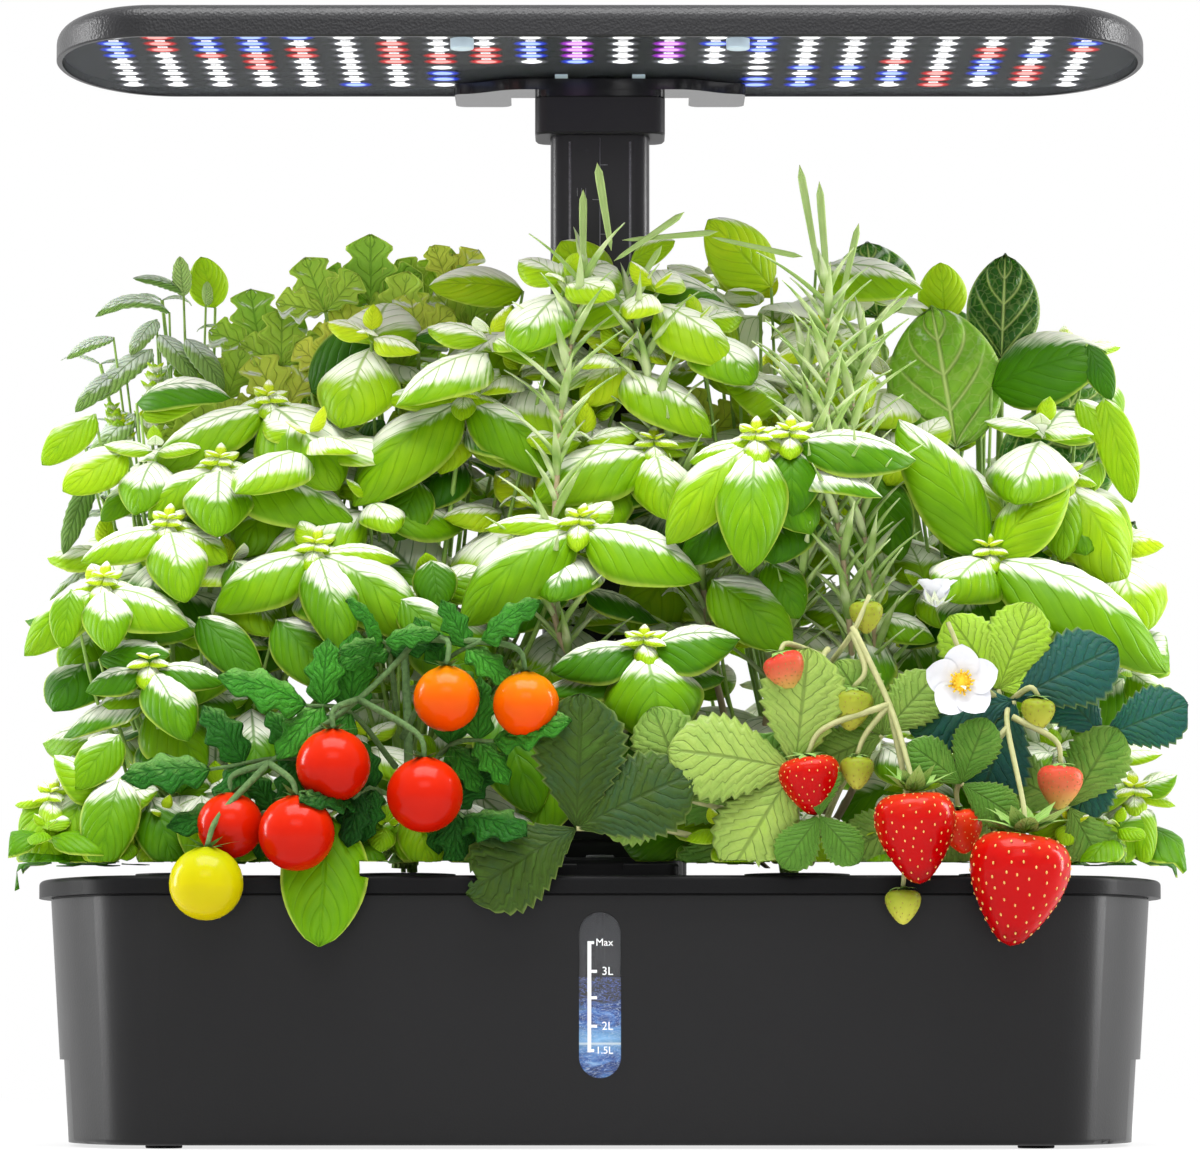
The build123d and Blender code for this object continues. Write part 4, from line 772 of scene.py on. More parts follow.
def makeWaterMaterial():
    material, tree, shader = newMaterial("nutrientWater", roughness=0.06, IOR=1.33)
    place = addNode(tree, "ShaderNodeTexCoord").outputs["Object"]
    stretched = addNode(tree, "ShaderNodeMapping", {"Vector": place, "Scale": (1.0, 1.0, 3.4)}).outputs[0]
    swirl = addNode(tree, "ShaderNodeTexNoise", {"Vector": stretched, "Scale": 90.0, "Detail": 5.0,
                                                 "Distortion": 2.2}).outputs["Fac"]
    fine = addNode(tree, "ShaderNodeTexNoise", {"Vector": stretched, "Scale": 150.0, "Detail": 2.0,
                                                "Distortion": 3.5}).outputs["Fac"]
    # painted highlight: thin white streaks where light catches the water
    glintStreaks = remap(tree, maths(tree, "ABSOLUTE", maths(tree, "SUBTRACT", fine, 0.5)), 0.0, 0.035, 1.0, 0.0)
    height = addNode(tree, "ShaderNodeSeparateXYZ", {"Vector": place}).outputs["Z"]
    deep = ramp(tree, swirl, [(0.3, rgb(22, 44, 100)), (0.48, rgb(48, 92, 176)), (0.6, rgb(84, 140, 216)),
                              (0.72, rgb(150, 200, 248))])
    # painted light: a lighter band and a near-white line across the water, as if lit
    under, over = remap(tree, height, 0.030, 0.037), remap(tree, height, 0.037, 0.043, 1.0, 0.0)
    band = maths(tree, "MULTIPLY", under, over)
    colour = mixColour(tree, maths(tree, "MULTIPLY", band, 0.75), deep, rgb(140, 206, 255))
    away = maths(tree, "ABSOLUTE", maths(tree, "SUBTRACT", height, 0.0355))
    line = remap(tree, away, 0.0, 0.0007, 1.0, 0.0)
    colour = mixColour(tree, line, colour, rgb(232, 248, 255))
    colour = mixColour(tree, maths(tree, "MULTIPLY", glintStreaks, 0.7), colour, rgb(206, 230, 255))
    splash = maths(tree, "MULTIPLY_ADD", swirl, 0.016, height)  # open air shows between the top streaks
    open_ = remap(tree, splash, 0.0555, 0.0595)
    filament = mixColour(tree, glintStreaks, rgb(46, 48, 54), rgb(96, 124, 220))
    colour = mixColour(tree, open_, colour, filament)
    tree.links.new(colour, shader.inputs["Base Color"])
    # painted glow: the water gives off its own colour, so it looks lit from within
    tree.links.new(colour, shader.inputs["Emission Color"])
    shader.inputs["Emission Strength"].default_value = 0.7
    return material


def makeWaterSurface():
    # calm open water, seen when the deck is lifted off
    material, tree, shader = newMaterial("waterSurface", roughness=0.05, IOR=1.33)
    place = addNode(tree, "ShaderNodeTexCoord").outputs["Object"]
    swell = addNode(tree, "ShaderNodeTexNoise", {"Vector": place, "Scale": 16.0, "Detail": 3.0,
                                                 "Distortion": 1.4}).outputs["Fac"]
    colour = ramp(tree, swell, [(0.3, rgb(40, 74, 132)), (0.55, rgb(66, 112, 178)),
                                (0.75, rgb(116, 162, 214))])
    tree.links.new(colour, shader.inputs["Base Color"])
    ripples = addNode(tree, "ShaderNodeBump", {"Strength": 0.3, "Distance": 0.002, "Height": swell})
    tree.links.new(ripples.outputs["Normal"], shader.inputs["Normal"])
    return material


def makeWater():
    base = (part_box("tank")[0].z / mm) + tankSize["floor"] + 0.4
    levels = [base, gauge["waterTop"] - 2 * gauge["waveHeight"], gauge["waterTop"]]
    rings = []
    for z in levels:
        rings.append([(x, y, z) for x, y in tankOutline(z, -gauge["waterInset"])])
    count = len(rings[0])
    vertices = [point for ring in rings for point in ring]
    faces = gridFaces(len(rings) - 1, count, wrap=True)
    spokes = 6
    for step in range(1, spokes):  # inner rings of the rippled surface
        share = 1 - step / spokes
        for x, y, z in rings[-1]:
            ripple = math.sin(x * share / 9.0 + y / 7.0) * math.cos(y * share / 6.0)
            vertices.append((x * share, y * share, z + gauge["waveHeight"] * (ripple - 1)))
    start = (len(rings) - 1) * count
    for ring in range(spokes - 1):
        for index in range(count):
            after = (index + 1) % count
            low, high = start + ring * count, start + (ring + 1) * count
            faces.append((low + index, low + after, high + after, high + index))
    centre = len(vertices)
    vertices += [(0, 0, gauge["waterTop"] - gauge["waveHeight"]), (0, 0, base)]
    last = centre - count
    for index in range(count):
        after = (index + 1) % count
        faces.append((last + index, last + after, centre))
        faces.append((index, after, centre + 1)[::-1])
    makeWaterMaterial()
    flipped = [face[::-1] for face in faces]  # the outline runs clockwise
    part = (np.array(vertices), flipped, np.zeros((len(vertices), 2)), np.zeros(len(vertices)),
            "nutrientWater")
    piece = joinParts("tankWater", [part])
    piece.data.materials.append(makeWaterSurface())
    for face in piece.data.polygons:
        if face.normal.z > 0.5:
            face.material_index = 1
    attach(piece, "tank")


def windowFaceY(z):
    # front of the pane at height z, in millimetres
    low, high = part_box("tank")
    share = (high.z / mm - z) / ((high.z - low.z) / mm)
    return low.y / mm + 0.3 + tankSize["draft"] * share - gauge["standOff"]


boxFaces = [(0, 1, 2, 3), (7, 6, 5, 4), (4, 5, 1, 0), (5, 6, 2, 1), (6, 7, 3, 2), (7, 4, 0, 3)]


def slab(x0, x1, z0, z1, thickness):
    corners = []
    for z in (z0, z1):
        y = windowFaceY(z)
        corners += [(x0, y, z), (x1, y, z), (x1, y - thickness, z), (x0, y - thickness, z)]
    return np.array(corners), boxFaces, np.zeros((8, 2)), np.zeros(8), "scalePrint"


def makeLetters(text, x, z, size):
    curve = bpy.data.curves.new("letters", "FONT")
    curve.body = text
    curve.size = size
    curve.extrude = gauge["thickness"] / 2
    curve.resolution_u = 3
    curve.align_x = "RIGHT"
    curve.align_y = "CENTER"
    words = newObject("letters", curve)
    mesh = evaluatedMesh(words)
    bpy.data.objects.remove(words)
    low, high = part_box("tank")
    draftAngle = math.atan2(tankSize["draft"], (high.z - low.z) / mm)
    mesh.transform(Matrix.Translation((x, windowFaceY(z) - gauge["thickness"] / 2, z))
                   @ Matrix.Rotation(math.pi / 2 + draftAngle, 4, "X"))
    vertices = np.array([vertex.co for vertex in mesh.vertices])
    faces = [tuple(polygon.vertices) for polygon in mesh.polygons]
    return vertices, faces, np.zeros((len(vertices), 2)), np.zeros(len(vertices)), "scalePrint"


def makeScale():
    makeFibre("scalePrint", rgb(244, 246, 248), rgb(255, 255, 255), 200.0, 0.5, 0.05)
    half, tickHalf = gauge["barWidth"] / 2, gauge["tickWidth"] / 2
    parts = [slab(gauge["barX"] - half, gauge["barX"] + half, gauge["barLow"], gauge["barHigh"],
                  gauge["thickness"])]
    for z, words in gauge["ticks"]:
        start = gauge["barX"] + half
        share = 0.62 if len(words) > 2 else 1.0  # long words get less tick
        parts.append(slab(start, start + gauge["tickLength"] * share - half, z - tickHalf, z + tickHalf,
                          gauge["thickness"]))
        if words:
            size = gauge["letterSize"] * (0.92 if len(words) > 2 else 1.04)
            parts.append(makeLetters(words, gauge["lettersEnd"], z, size))
    piece = joinParts("levelScale", parts)
    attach(piece, "tank")


makeWater()
makeScale()
print("level window made")


# Column: a printed height scale on the sliding tube

columnMarks = {"lineWidth": 0.3, "tickLength": 2.6, "pitch": 12.7, "low": 254.0, "high": 363.0,
               "firstTick": 353.0, "edgeX": 10.9, "edgeWidth": 0.8, "thickness": 0.12,
               "groupX": -8.2, "groupPitch": 1.5, "groupHeight": 3.0, "groupZ": 341.5}


def makeColumnMarks():
    makeFibre("markPrint", rgb(92, 92, 96), rgb(124, 124, 128), 900.0, 0.6, 0.2)
    makeFibre("edgePrint", rgb(30, 29, 32), rgb(150, 149, 154), 1500.0, 0.6, 0.4)
    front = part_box("inner_column")[0].y / mm

    def bar(x0, x1, z0, z1, material="markPrint"):
        corners = [(x0, front, z0), (x1, front, z0), (x1, front - columnMarks["thickness"], z0),
                   (x0, front - columnMarks["thickness"], z0)]
        corners += [(x, y, z1) for x, y, _ in corners]
        return np.array(corners), boxFaces, np.zeros((8, 2)), np.zeros(8), material

    half = columnMarks["lineWidth"] / 2
    parts = [bar(-half, half, columnMarks["low"], columnMarks["high"])]
    edgeHalf = columnMarks["edgeWidth"] / 2
    for x in (-columnMarks["edgeX"], columnMarks["edgeX"]):
        parts.append(bar(x - edgeHalf, x + edgeHalf, columnMarks["low"], columnMarks["high"] - 1.5,
                         "edgePrint"))
    for index in range(3):
        x = columnMarks["groupX"] + index * columnMarks["groupPitch"]
        parts.append(bar(x - half, x + half, columnMarks["groupZ"],
                         columnMarks["groupZ"] + columnMarks["groupHeight"]))
    count = int((columnMarks["firstTick"] - columnMarks["low"]) / columnMarks["pitch"])
    for index in range(count):
        z = columnMarks["firstTick"] - index * columnMarks["pitch"]
        start = half if index % 2 == 0 else -half - columnMarks["tickLength"]
        parts.append(bar(start, start + columnMarks["tickLength"], z - half, z + half))
    piece = joinParts("columnScale", parts)
    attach(piece, "lamp")


def makeCurlyLead():
    low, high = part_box("lamp_lead")
    centre = (low + high) / 2
    radius, wire, turns = 2.9 * mm, 1.0 * mm, 44
    curve = bpy.data.curves.new("curlyLead", "CURVE")
    curve.dimensions = "3D"
    curve.bevel_depth = wire
    curve.bevel_resolution = 1
    spline = curve.splines.new("NURBS")
    count = turns * 8
    spline.points.add(count - 1)
    for index, point in enumerate(spline.points):
        angle = index * math.pi / 4
        z = low.z + wire + (high.z - low.z - 2 * wire) * index / (count - 1)
        point.co = (centre.x + radius * math.cos(angle), centre.y + radius * math.sin(angle), z, 1)
    spline.order_u = 3
    spline.use_endpoint_u = True
    curve.use_fill_caps = True
    source = newObject("curlyLead", curve)
    mesh = evaluatedMesh(source)
    bpy.data.objects.remove(source)
    mesh.materials.clear()
    mesh.materials.append(materials["lead"])
    piece = newObject("curlyLead", mesh)
    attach(piece, "lamp")
    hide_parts("lamp_lead")
    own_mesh(piece)


makeColumnMarks()
makeCurlyLead()
print("column details made")


# Plants

pods = {}
for number in range(1, 13):
    low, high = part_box(f"basket_{number:02d}")
    pods[number] = ((low.x + high.x) / 2 / mm, (low.y + high.y) / 2 / mm)

garden = {
    "deckTop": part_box("deck")[1].z / mm, "spongeRadius": 13.4, "spongeFoot": 10.9, "spongeTop": 90.7,
    "spongeHeight": 30.0, "leafThickness": 0.28, "squashKeep": 0.66,
    "side": 198.0, "back": 86.0, "front": -112.0, "mostPressed": 3.0,
}
plantOf = {1: "basil_front_left", 2: "tomato_plant", 3: "strawberry_plant_left", 4: "strawberry_plant_right",
           5: "basil_left", 6: "basil_centre", 7: "rosemary", 8: "basil_right", 9: "mint", 10: "parsley",
           11: "basil_rear", 12: "spinach"}

# boxes that leaves keep out of: low corner, high corner, and the way a point is pushed out
keepOut = (
    ((-24.5, 21.0, 0), (24.5, 50.5, 380), "y"),      # column
    ((-26.5, 19.0, 360), (26.5, 52.5, 400), "y"),    # its cap
    ((-32, 14, 0), (32, 68, 110), "z"),              # foot of the column
    ((-30.5, -26.5, 0), (30.5, 12.5, 102.5), "z"),   # control panel
    ((-28.5, -70, 0), (28.5, -34, 98), "z"),         # water inlet
)


def keepClear(points):
    before, points = points, points.copy()
    x, y, z = points.T
    overDeck = (np.abs(x) < 199) & (np.abs(y) < 86.5)
    z[overDeck] = np.maximum(z[overDeck], garden["deckTop"] + 0.5)
    for low, high, way in keepOut:
        inside = ((x > low[0]) & (x < high[0]) & (y > low[1]) & (y < high[1]) & (z > low[2]) & (z < high[2]))
        if way == "z":
            z[inside] = high[2]
        else:
            toFront = inside & (y < (low[1] + high[1]) / 2)
            y[toFront] = low[1] - 0.2 * (y[toFront] - low[1])
            rest = inside & ~toFront
            x[rest] = np.where(x[rest] > 0, high[0], low[0])
    np.clip(x, -garden["side"] - 3, garden["side"] + 3, out=x)
    np.clip(y, garden["front"], garden["back"], out=y)
    return points, np.abs(points - before).max(axis=1)


def heading(turn, rise):
    turn, rise = math.radians(turn), math.radians(rise)
    return np.array([math.cos(turn) * math.cos(rise), math.sin(turn) * math.cos(rise), math.sin(rise)])


def leafBetween(base, tip, width, arch=60.0, up=(0, -0.7, 0.72), **look):
    # a leaf from base to tip that bulges along up on the way
    base, tip = np.asarray(base, float), np.asarray(tip, float)
    chord = tip - base
    ahead = unit(chord)
    side = unit(np.cross(ahead, up))
    above = np.cross(side, ahead)
    half = math.radians(arch) / 2
    length = np.linalg.norm(chord) * half / math.sin(half)
    direction = math.cos(half) * ahead + math.sin(half) * above
    return blade(base, direction, length, width, arch=arch, up=above, **look)


def basilSprig(apex, size, turn, levels=3, tone=0.5, seed=1, tilt=30.0):
    # opposite pairs of leaves, each pair a quarter turn from the last and larger lower down
    dice = random.Random(seed)
    pairs = (  # share of the size, rise, arch, drop below the tip, tone
        (0.26, 60, 30, -0.04, 0.30), (0.55, 34, 66, 0.03, 0.18), (1.00, 18, 66, 0.12, 0.06),
        (1.00, 2, 56, 0.50, -0.08), (0.95, -8, 50, 0.95, -0.16))
    lean = Matrix.Rotation(math.radians(tilt), 4, "X")
    parts = []
    for level, (share, rise, arch, drop, lift) in enumerate(pairs[:levels + 1]):
        for side in (0, 180):
            angle = turn + 90 * (level % 2) + side + dice.uniform(-14, 14)
            length = size * share * dice.uniform(0.88, 1.1)
            base = np.array([0, 0, -drop * size]) + heading(angle, rise) * 1.2
            shade = min(1, max(0, tone + lift + dice.uniform(-0.08, 0.08)))
            leaf = blade(base, heading(angle, rise + dice.uniform(-9, 9)), length,
                         length * dice.uniform(0.68, 0.82), "ovate", arch + dice.uniform(-12, 12),
                         cup=dice.uniform(0.4, 0.6), tone=shade, twist=dice.uniform(-16, 16),
                         rows=12 if share > 0.4 else 7, columns=8 if share > 0.4 else 4)
            parts.append(moved(leaf, apex, lean))
    return parts


def stemTo(pod, apex, radius=1.5, seed=1, material="greenStem"):
    dice = random.Random(seed)
    x, y = pods[pod]
    foot = np.array([x, y, garden["spongeTop"] - 6])
    apex = np.asarray(apex, float)
    rise = np.array([x + dice.uniform(-3, 3), y + dice.uniform(-3, 3), garden["deckTop"] + 14])
    middle = foot + (apex - foot) * np.array([0.62, 0.62, 0.55]) + np.array([dice.uniform(-3, 3), 2, 0])
    return tube([foot, rise, middle, apex - np.array([0, 0, 2.5])], radius, radius * 0.5, material=material)


# basil tops with the leaves that show most, placed one by one
rosettes = (  # pod, top, leaves (pixel across, pixel down, how far behind the top, width, tone)
    (5, (-118, 0, 265), ((148, 475, -4, 16, 0.55), (338, 490, -26, 27, 0.5), (350, 440, 6, 11, 0.75))),
    (5, (-134, -15, 241), ((147, 520, -6, 15, 0.6), (218, 536, -26, 20, 0.45),
         (355, 525, -8, 20, 0.5))),
    (1, (-151, -30, 218), ((80, 562, -6, 13, 0.6), (186, 602, -24, 17, 0.5),
         (228, 562, -4, 13, 0.65))),
    (5, (-99, -35, 209), ((215, 612, -6, 18, 0.5), (420, 640, -10, 22, 0.5),
         (345, 655, -26, 16, 0.4), (300, 520, 6, 7, 0.7), (400, 560, 4, 9, 0.7))),
    (1, (-172, -45, 196), ((25, 656, -4, 15, 0.5), (190, 626, -6, 16, 0.55),
         (108, 652, -22, 14, 0.5), (90, 562, 5, 6, 0.8))),
    (1, (-155, -55, 167), ((85, 692, -2, 10, 0.25), (225, 682, -2, 11, 0.25),
         (190, 742, -20, 15, 0.35))),
    (1, (-166, -60, 121), ((55, 755, -2, 12, 0.5), (160, 790, -4, 14, 0.5), (98, 870, -14, 16, 0.6))),
    (1, (-188, -60, 121), ((50, 873, -12, 16, 0.55), (22, 845, 0, 9, 0.55))),
    (6, (-48, -10, 266), ((352, 505, -10, 22, 0.5), (560, 480, -6, 19, 0.45), (380, 400, 6, 10, 0.7),
         (500, 370, 8, 10, 0.7))),
    (6, (-16, 20, 294), ((428, 382, -6, 18, 0.6), (588, 412, -16, 16, 0.6), (642, 335, 4, 9, 0.8))),
    (6, (19, -20, 247), ((532, 502, -8, 20, 0.55), (668, 520, -20, 18, 0.6), (704, 442, 2, 6, 0.7))),
    (6, (-7, -45, 217), ((460, 626, -8, 22, 0.5), (702, 580, -8, 21, 0.5), (485, 530, 6, 8, 0.7),
         (612, 500, 8, 9, 0.7))),
    (7, (54, -50, 246), ((668, 545, -6, 18, 0.6), (748, 572, -20, 20, 0.45), (690, 462, 6, 11, 0.6))),
    (7, (66, -48, 247), ((917, 460, 8, 18, 0.25), (790, 520, -8, 17, 0.25))),
    (7, (15, -60, 174), ((550, 672, 0, 15, 0.2), (741, 640, 0, 17, 0.25), (662, 747, -14, 28, 0.4))),
    (8, (136, -30, 208), ((898, 420, 4, 22, 0.5), (1066, 480, 4, 18, 0.6), (945, 602, -20, 22, 0.5),
         (1166, 672, -8, 25, 0.45))),
    (8, (164, -4, 238), ((1126, 592, -4, 22, 0.66), (1062, 560, -14, 15, 0.5))),
    (8, (184, -50, 123), ((1176, 775, 0, 10, 0.45), (1110, 876, -12, 14, 0.55),
         (1148, 866, -12, 9, 0.55))),
)
# large leaves on their own stalks
upperLeaves = (  # pod, pixel of the base, pixel of the tip, y, width, tone, arch
    (10, (310, 392), (388, 325), 20, 25, 0.12, 20),
    (5, (137, 403), (230, 398), 10, 14, 0.22, 100),
    (5, (140, 417), (208, 396), 6, 10, 0.62, 30),
    (6, (478, 335), (413, 338), 20, 11, 0.15, 70),
    (5, (358, 455), (385, 420), 10, 11, 0.1, 30),
    (9, (214, 307), (202, 257), 50, 13, 0.8, 20),
    (11, (722, 300), (596, 302), 16, 19, 0.3, 95),
    (11, (738, 312), (630, 338), 8, 19, 0.25, 85),
    (11, (738, 352), (676, 310), 0, 22, 0.92, 30),
    (11, (772, 288), (708, 220), 26, 23, 0.88, 25),
    (7, (785, 402), (724, 385), 0, 18, 0.62, 80),
    (12, (946, 322), (940, 262), 44, 16, 0.85, 20),
    (5, (96, 414), (42, 466), 0, 13, 0.6, 40),
    (5, (126, 452), (62, 492), -6, 16, 0.75, 30),
    (10, (524, 292), (428, 285), 34, 16, 0.82, 50),
    (6, (602, 302), (560, 240), 12, 23, 0.85, 30),
    (6, (630, 264), (676, 240), 18, 10, 0.8, 40),
    (11, (815, 270), (921, 290), 22, 20, 0.6, 70),
    (8, (990, 388), (1106, 352), 20, 28, 0.2, 60),
    (8, (1086, 345), (1112, 400), 14, 10, 0.08, 30),
    (8, (1078, 398), (1126, 458), 6, 11, 0.6, 40),
    (8, (1103, 398), (1133, 504), 4, 13, 0.62, 30),
    (8, (1100, 460), (1078, 496), 4, 9, 0.6, 20),
    (8, (1088, 622), (1152, 656), -24, 15, 0.6, 40),
)
lowLeaves = (  # pod, base, tip, width, tone, arch; these hang over the rim
    (1, (-176, -60, 122), (-186, -68, 94), 15, 0.52, 60),
    (1, (-164, -66, 126), (-170, -76, 93.4), 18, 0.38, 60),
    (1, (-154, -60, 120), (-144, -70, 93.4), 17, 0.26, 60),
    (1, (-136, -66, 120), (-134, -76, 93.4), 16, 0.44, 60),
    (1, (-126, -60, 116), (-118, -70, 93.4), 14, 0.3, 60),
    (2, (-108, -62, 118), (-109, -74, 93.4), 15, 0.36, 60),
    (2, (-62, -62, 116), (-58, -74, 93.4), 16, 0.54, 60),
    (2, (-46, -62, 118), (-42, -74, 93.4), 16, 0.28, 60),
    (2, (-31, -60, 115), (-27, -72, 93.4), 14, 0.46, 60),
    (2, (-36, -50, 152), (-22, -64, 114), 24, 0.3, 50),
    (3, (-10, -48, 142), (-24, -62, 104), 22, 0.38, 50),
    (3, (12, -50, 148), (6, -64, 110), 22, 0.34, 50),
)
innerLeaves = (  # as upperLeaves
    (8, (1072, 488), (1128, 560), 2, 21, 0.62, 40),
    (1, (200, 618), (262, 684), -44, 15, 0.2, 40),
    (5, (276, 620), (338, 690), -44, 19, 0.3, 40),
    (7, (712, 578), (792, 650), -44, 22, 0.42, 50),
    (1, (70, 590), (62, 650), -50, 11, 0.5, 40),
    (1, (118, 735), (75, 790), -62, 14, 0.45, 40),
    (1, (100, 660), (170, 655), -50, 11, 0.2, 50),
    (5, (234, 560), (261, 619), -30, 15, 0.35, 40),
    (5, (420, 480), (395, 540), -10, 16, 0.3, 40),
    (6, (430, 560), (440, 610), -30, 14, 0.25, 40),
    (6, (400, 600), (450, 650), -46, 14, 0.3, 40),
    (7, (770, 560), (800, 620), -40, 15, 0.3, 40),
    (8, (870, 470), (900, 560), -10, 18, 0.3, 40),
    (8, (1010, 560), (1010, 640), -30, 18, 0.4, 40),
    (8, (930, 440), (880, 520), 0, 15, 0.35, 40),
    (5, (150, 480), (100, 520), 0, 11, 0.4, 50),
)
tipForward = 6  # a leaf tip is this much nearer than its base


def seenLeaf(pod, base, tip, y, width, tone, arch):
    return pod, atPixel(*base, y), atPixel(*tip, y - tipForward), width, tone, arch


loneLeaves = [seenLeaf(*leaf) for leaf in upperLeaves]
loneLeaves += lowLeaves
loneLeaves += [seenLeaf(*leaf) for leaf in innerLeaves]


def rosetteParts(apex, leaves, seed):
    dice = random.Random(seed)
    apex = np.asarray(apex, float)
    parts = []
    for across, down, behind, width, tone in leaves:
        tip = atPixel(across, down, apex[1] + behind)
        reach = np.asarray(tip, float) - apex
        small = np.linalg.norm(reach) < 22
        sideways = abs(reach[0]) > 1.2 * abs(reach[2])
        base = apex + unit(reach * (1, 1, 0.2)) * 1.5 - np.array([0, 0, 1.0 if small else 3.5])
        wide = width * (1.4 if small else 1.66 if sideways else 1.28)
        parts.append(leafBetween(
            base, tip, wide, 50 if small else 74 + dice.uniform(-8, 8),
            (0, -0.62, 0.8) if sideways else (0, -0.8, 0.6),
            cup=0.42 if small else 0.62, tone=tone + dice.uniform(-0.05, 0.05), rows=10 if small else 18,
            columns=6 if small else 10, twist=dice.uniform(-8, 8)))
    lean = Matrix.Rotation(math.radians(30), 4, "X")
    for ring, (size, rise, count) in enumerate(((14, 12, 4), (9, 34, 4), (6, 58, 3))):
        for index in range(count):
            angle = 360 * index / count + 40 * ring + dice.uniform(-16, 16)
            leaf = blade((0, 0, ring * 1.2 - 1), heading(angle, rise), size * dice.uniform(0.8, 1.25),
                         size * 0.68, "ovate", 62, cup=0.6, tone=0.92 - 0.1 * (2 - ring), rows=8, columns=6)
            parts.append(moved(leaf, apex, lean))
    return parts


def plantsOf(pod):
    parts = []
    for index, (owner, apex, leaves) in enumerate(rosettes):
        if owner == pod:
            parts += rosetteParts(apex, leaves, 100 + index)
            parts += basilSprig(np.array(apex) + (0, 7, -8), 34, 40 * index, 3, 0.22, 150 + index, 26)[4:]
            parts.append(stemTo(pod, apex, 1.6, 200 + index))
    for index, (owner, base, tip, width, tone, arch) in enumerate(loneLeaves):
        if owner == pod:
            reach = np.subtract(tip, base)
            sideways = abs(reach[0]) > 1.2 * abs(reach[2])
            parts.append(leafBetween(base, tip, width * (1.45 if sideways and arch > 60 else 1.15), arch,
                                     (0, -0.66, 0.76) if arch > 60 else (0, -0.9, 0.45),
                                     cup=0.5 if arch > 60 else 0.3, tone=min(tone, 0.5 + 0.3 * tone),
                                     rows=18, columns=10))
            parts.append(stemTo(pod, np.array(base) + (0, 0, 2.5), 1.1, 260 + index))
    return parts


def filler(pod, seed, low, high, xRange, yRange, size=36, tone=0.36, pitch=30):
    # sprigs on a loose grid over an upright patch, behind and between the placed ones
    dice = random.Random(seed)
    parts = []
    rows = max(1, round((high - low) / pitch))
    columns = max(1, round((xRange[1] - xRange[0]) / (pitch * 1.15)))
    for row in range(rows):
        for column in range(columns):
            shift = 0.25 if row % 2 else -0.25
            x = xRange[0] + (xRange[1] - xRange[0]) * (column + 0.5 + shift) / columns
            apex = (x + dice.uniform(-6, 6),
                    dice.uniform(*yRange), low + (high - low) * (row + 0.5) / rows + dice.uniform(-7, 7))
            tilt = dice.uniform(24, 58) if yRange[1] < 30 else dice.uniform(-24, 34)
            shade = tone + 0.22 * (row + 0.5) / rows - 0.11 + dice.uniform(-0.14, 0.16)
            number = seed * 50 + row * 7 + column
            parts += basilSprig(apex, size * dice.uniform(0.85, 1.15), dice.uniform(0, 180), 2, shade,
                                number, tilt)
            if column % 2 == 0:
                parts.append(stemTo(pod, apex, 1.2, number))
    return parts


def parsleyFan(stalkFoot, place, size, turn, tone, seed):
    # three lobed leaflets on one stalk, held nearly upright
    dice = random.Random(seed)
    place = np.asarray(place, float)
    middle = (np.asarray(stalkFoot) * 0.35 + place * 0.65) + np.array([dice.uniform(-4, 4), 3, 0])
    parts = [tube([stalkFoot, middle, place - np.array([0, 0, size * 0.5])], 1.1, 0.7)]
    hub = place - np.array([0, 0, size * 0.5])
    for offset, share in ((0, 1.0), (58, 0.85), (-58, 0.85)):
        tilt = 90 + turn + offset
        rise = heading(0, 0) * math.cos(math.radians(tilt))
        rise = rise + np.array([0, 0, 1]) * math.sin(math.radians(tilt))
        rise = rise + np.array([0, dice.uniform(-0.5, 0.1), 0])
        parts.append(blade(hub, rise, size * share, size * 0.86 * share, "fan", dice.uniform(10, 40),
                           cup=-0.2, tone=tone + dice.uniform(-0.1, 0.1), up=(0, -1, 0.2), lobes=3,
                           lobeDepth=0.42, pucker=0.03, sideVeins=3, slope=0.8, rows=18, columns=8,
                           material="parsleyLeaf", twist=dice.uniform(-25, 25)))
    return parts


parsleyFans = (  # centre (x, y, z), size, turn, tone
    ((-84, 50, 318), 26, 0, 0.35), ((-124, 46, 300), 24, 10, 0.35), ((-64, 54, 318), 22, -24, 0.45),
    ((-56, 52, 322), 18, -40, 0.85), ((-90, 44, 300), 20, 20, 0.90), ((-114, 34, 276), 24, 30, 0.85),
    ((-98, 36, 288), 20, -10, 0.95), ((-136, 40, 280), 24, 40, 0.40), ((-150, 36, 268), 20, 20, 0.50),
    ((-72, 42, 292), 24, 16, 0.40), ((-110, 52, 262), 26, -20, 0.30), ((-60, 46, 270), 22, 30, 0.70),
    ((-84, 72, 300), 26, 0, 0.30), ((-56, 74, 286), 26, 30, 0.40), ((-104, 74, 270), 26, -30, 0.30),
    ((-124, 64, 240), 26, 10, 0.30), ((-70, 76, 250), 26, 0, 0.45), ((-42, 70, 240), 22, -20, 0.40),
    ((38, 24, 262), 22, 20, 0.90), ((60, 22, 258), 22, -30, 0.90),
    ((-100, 40, 312), 22, 20, 0.45), ((-74, 44, 306), 22, -10, 0.55), ((-116, 40, 292), 22, 0, 0.55),
    ((-48, 40, 306), 24, -20, 0.50), ((-66, 36, 300), 20, 10, 0.80), ((-88, 36, 278), 22, 24, 0.60),
    ((-140, 30, 262), 24, 30, 0.60), ((-126, 26, 254), 22, -14, 0.75), ((-44, 44, 290), 24, -30, 0.45),
)


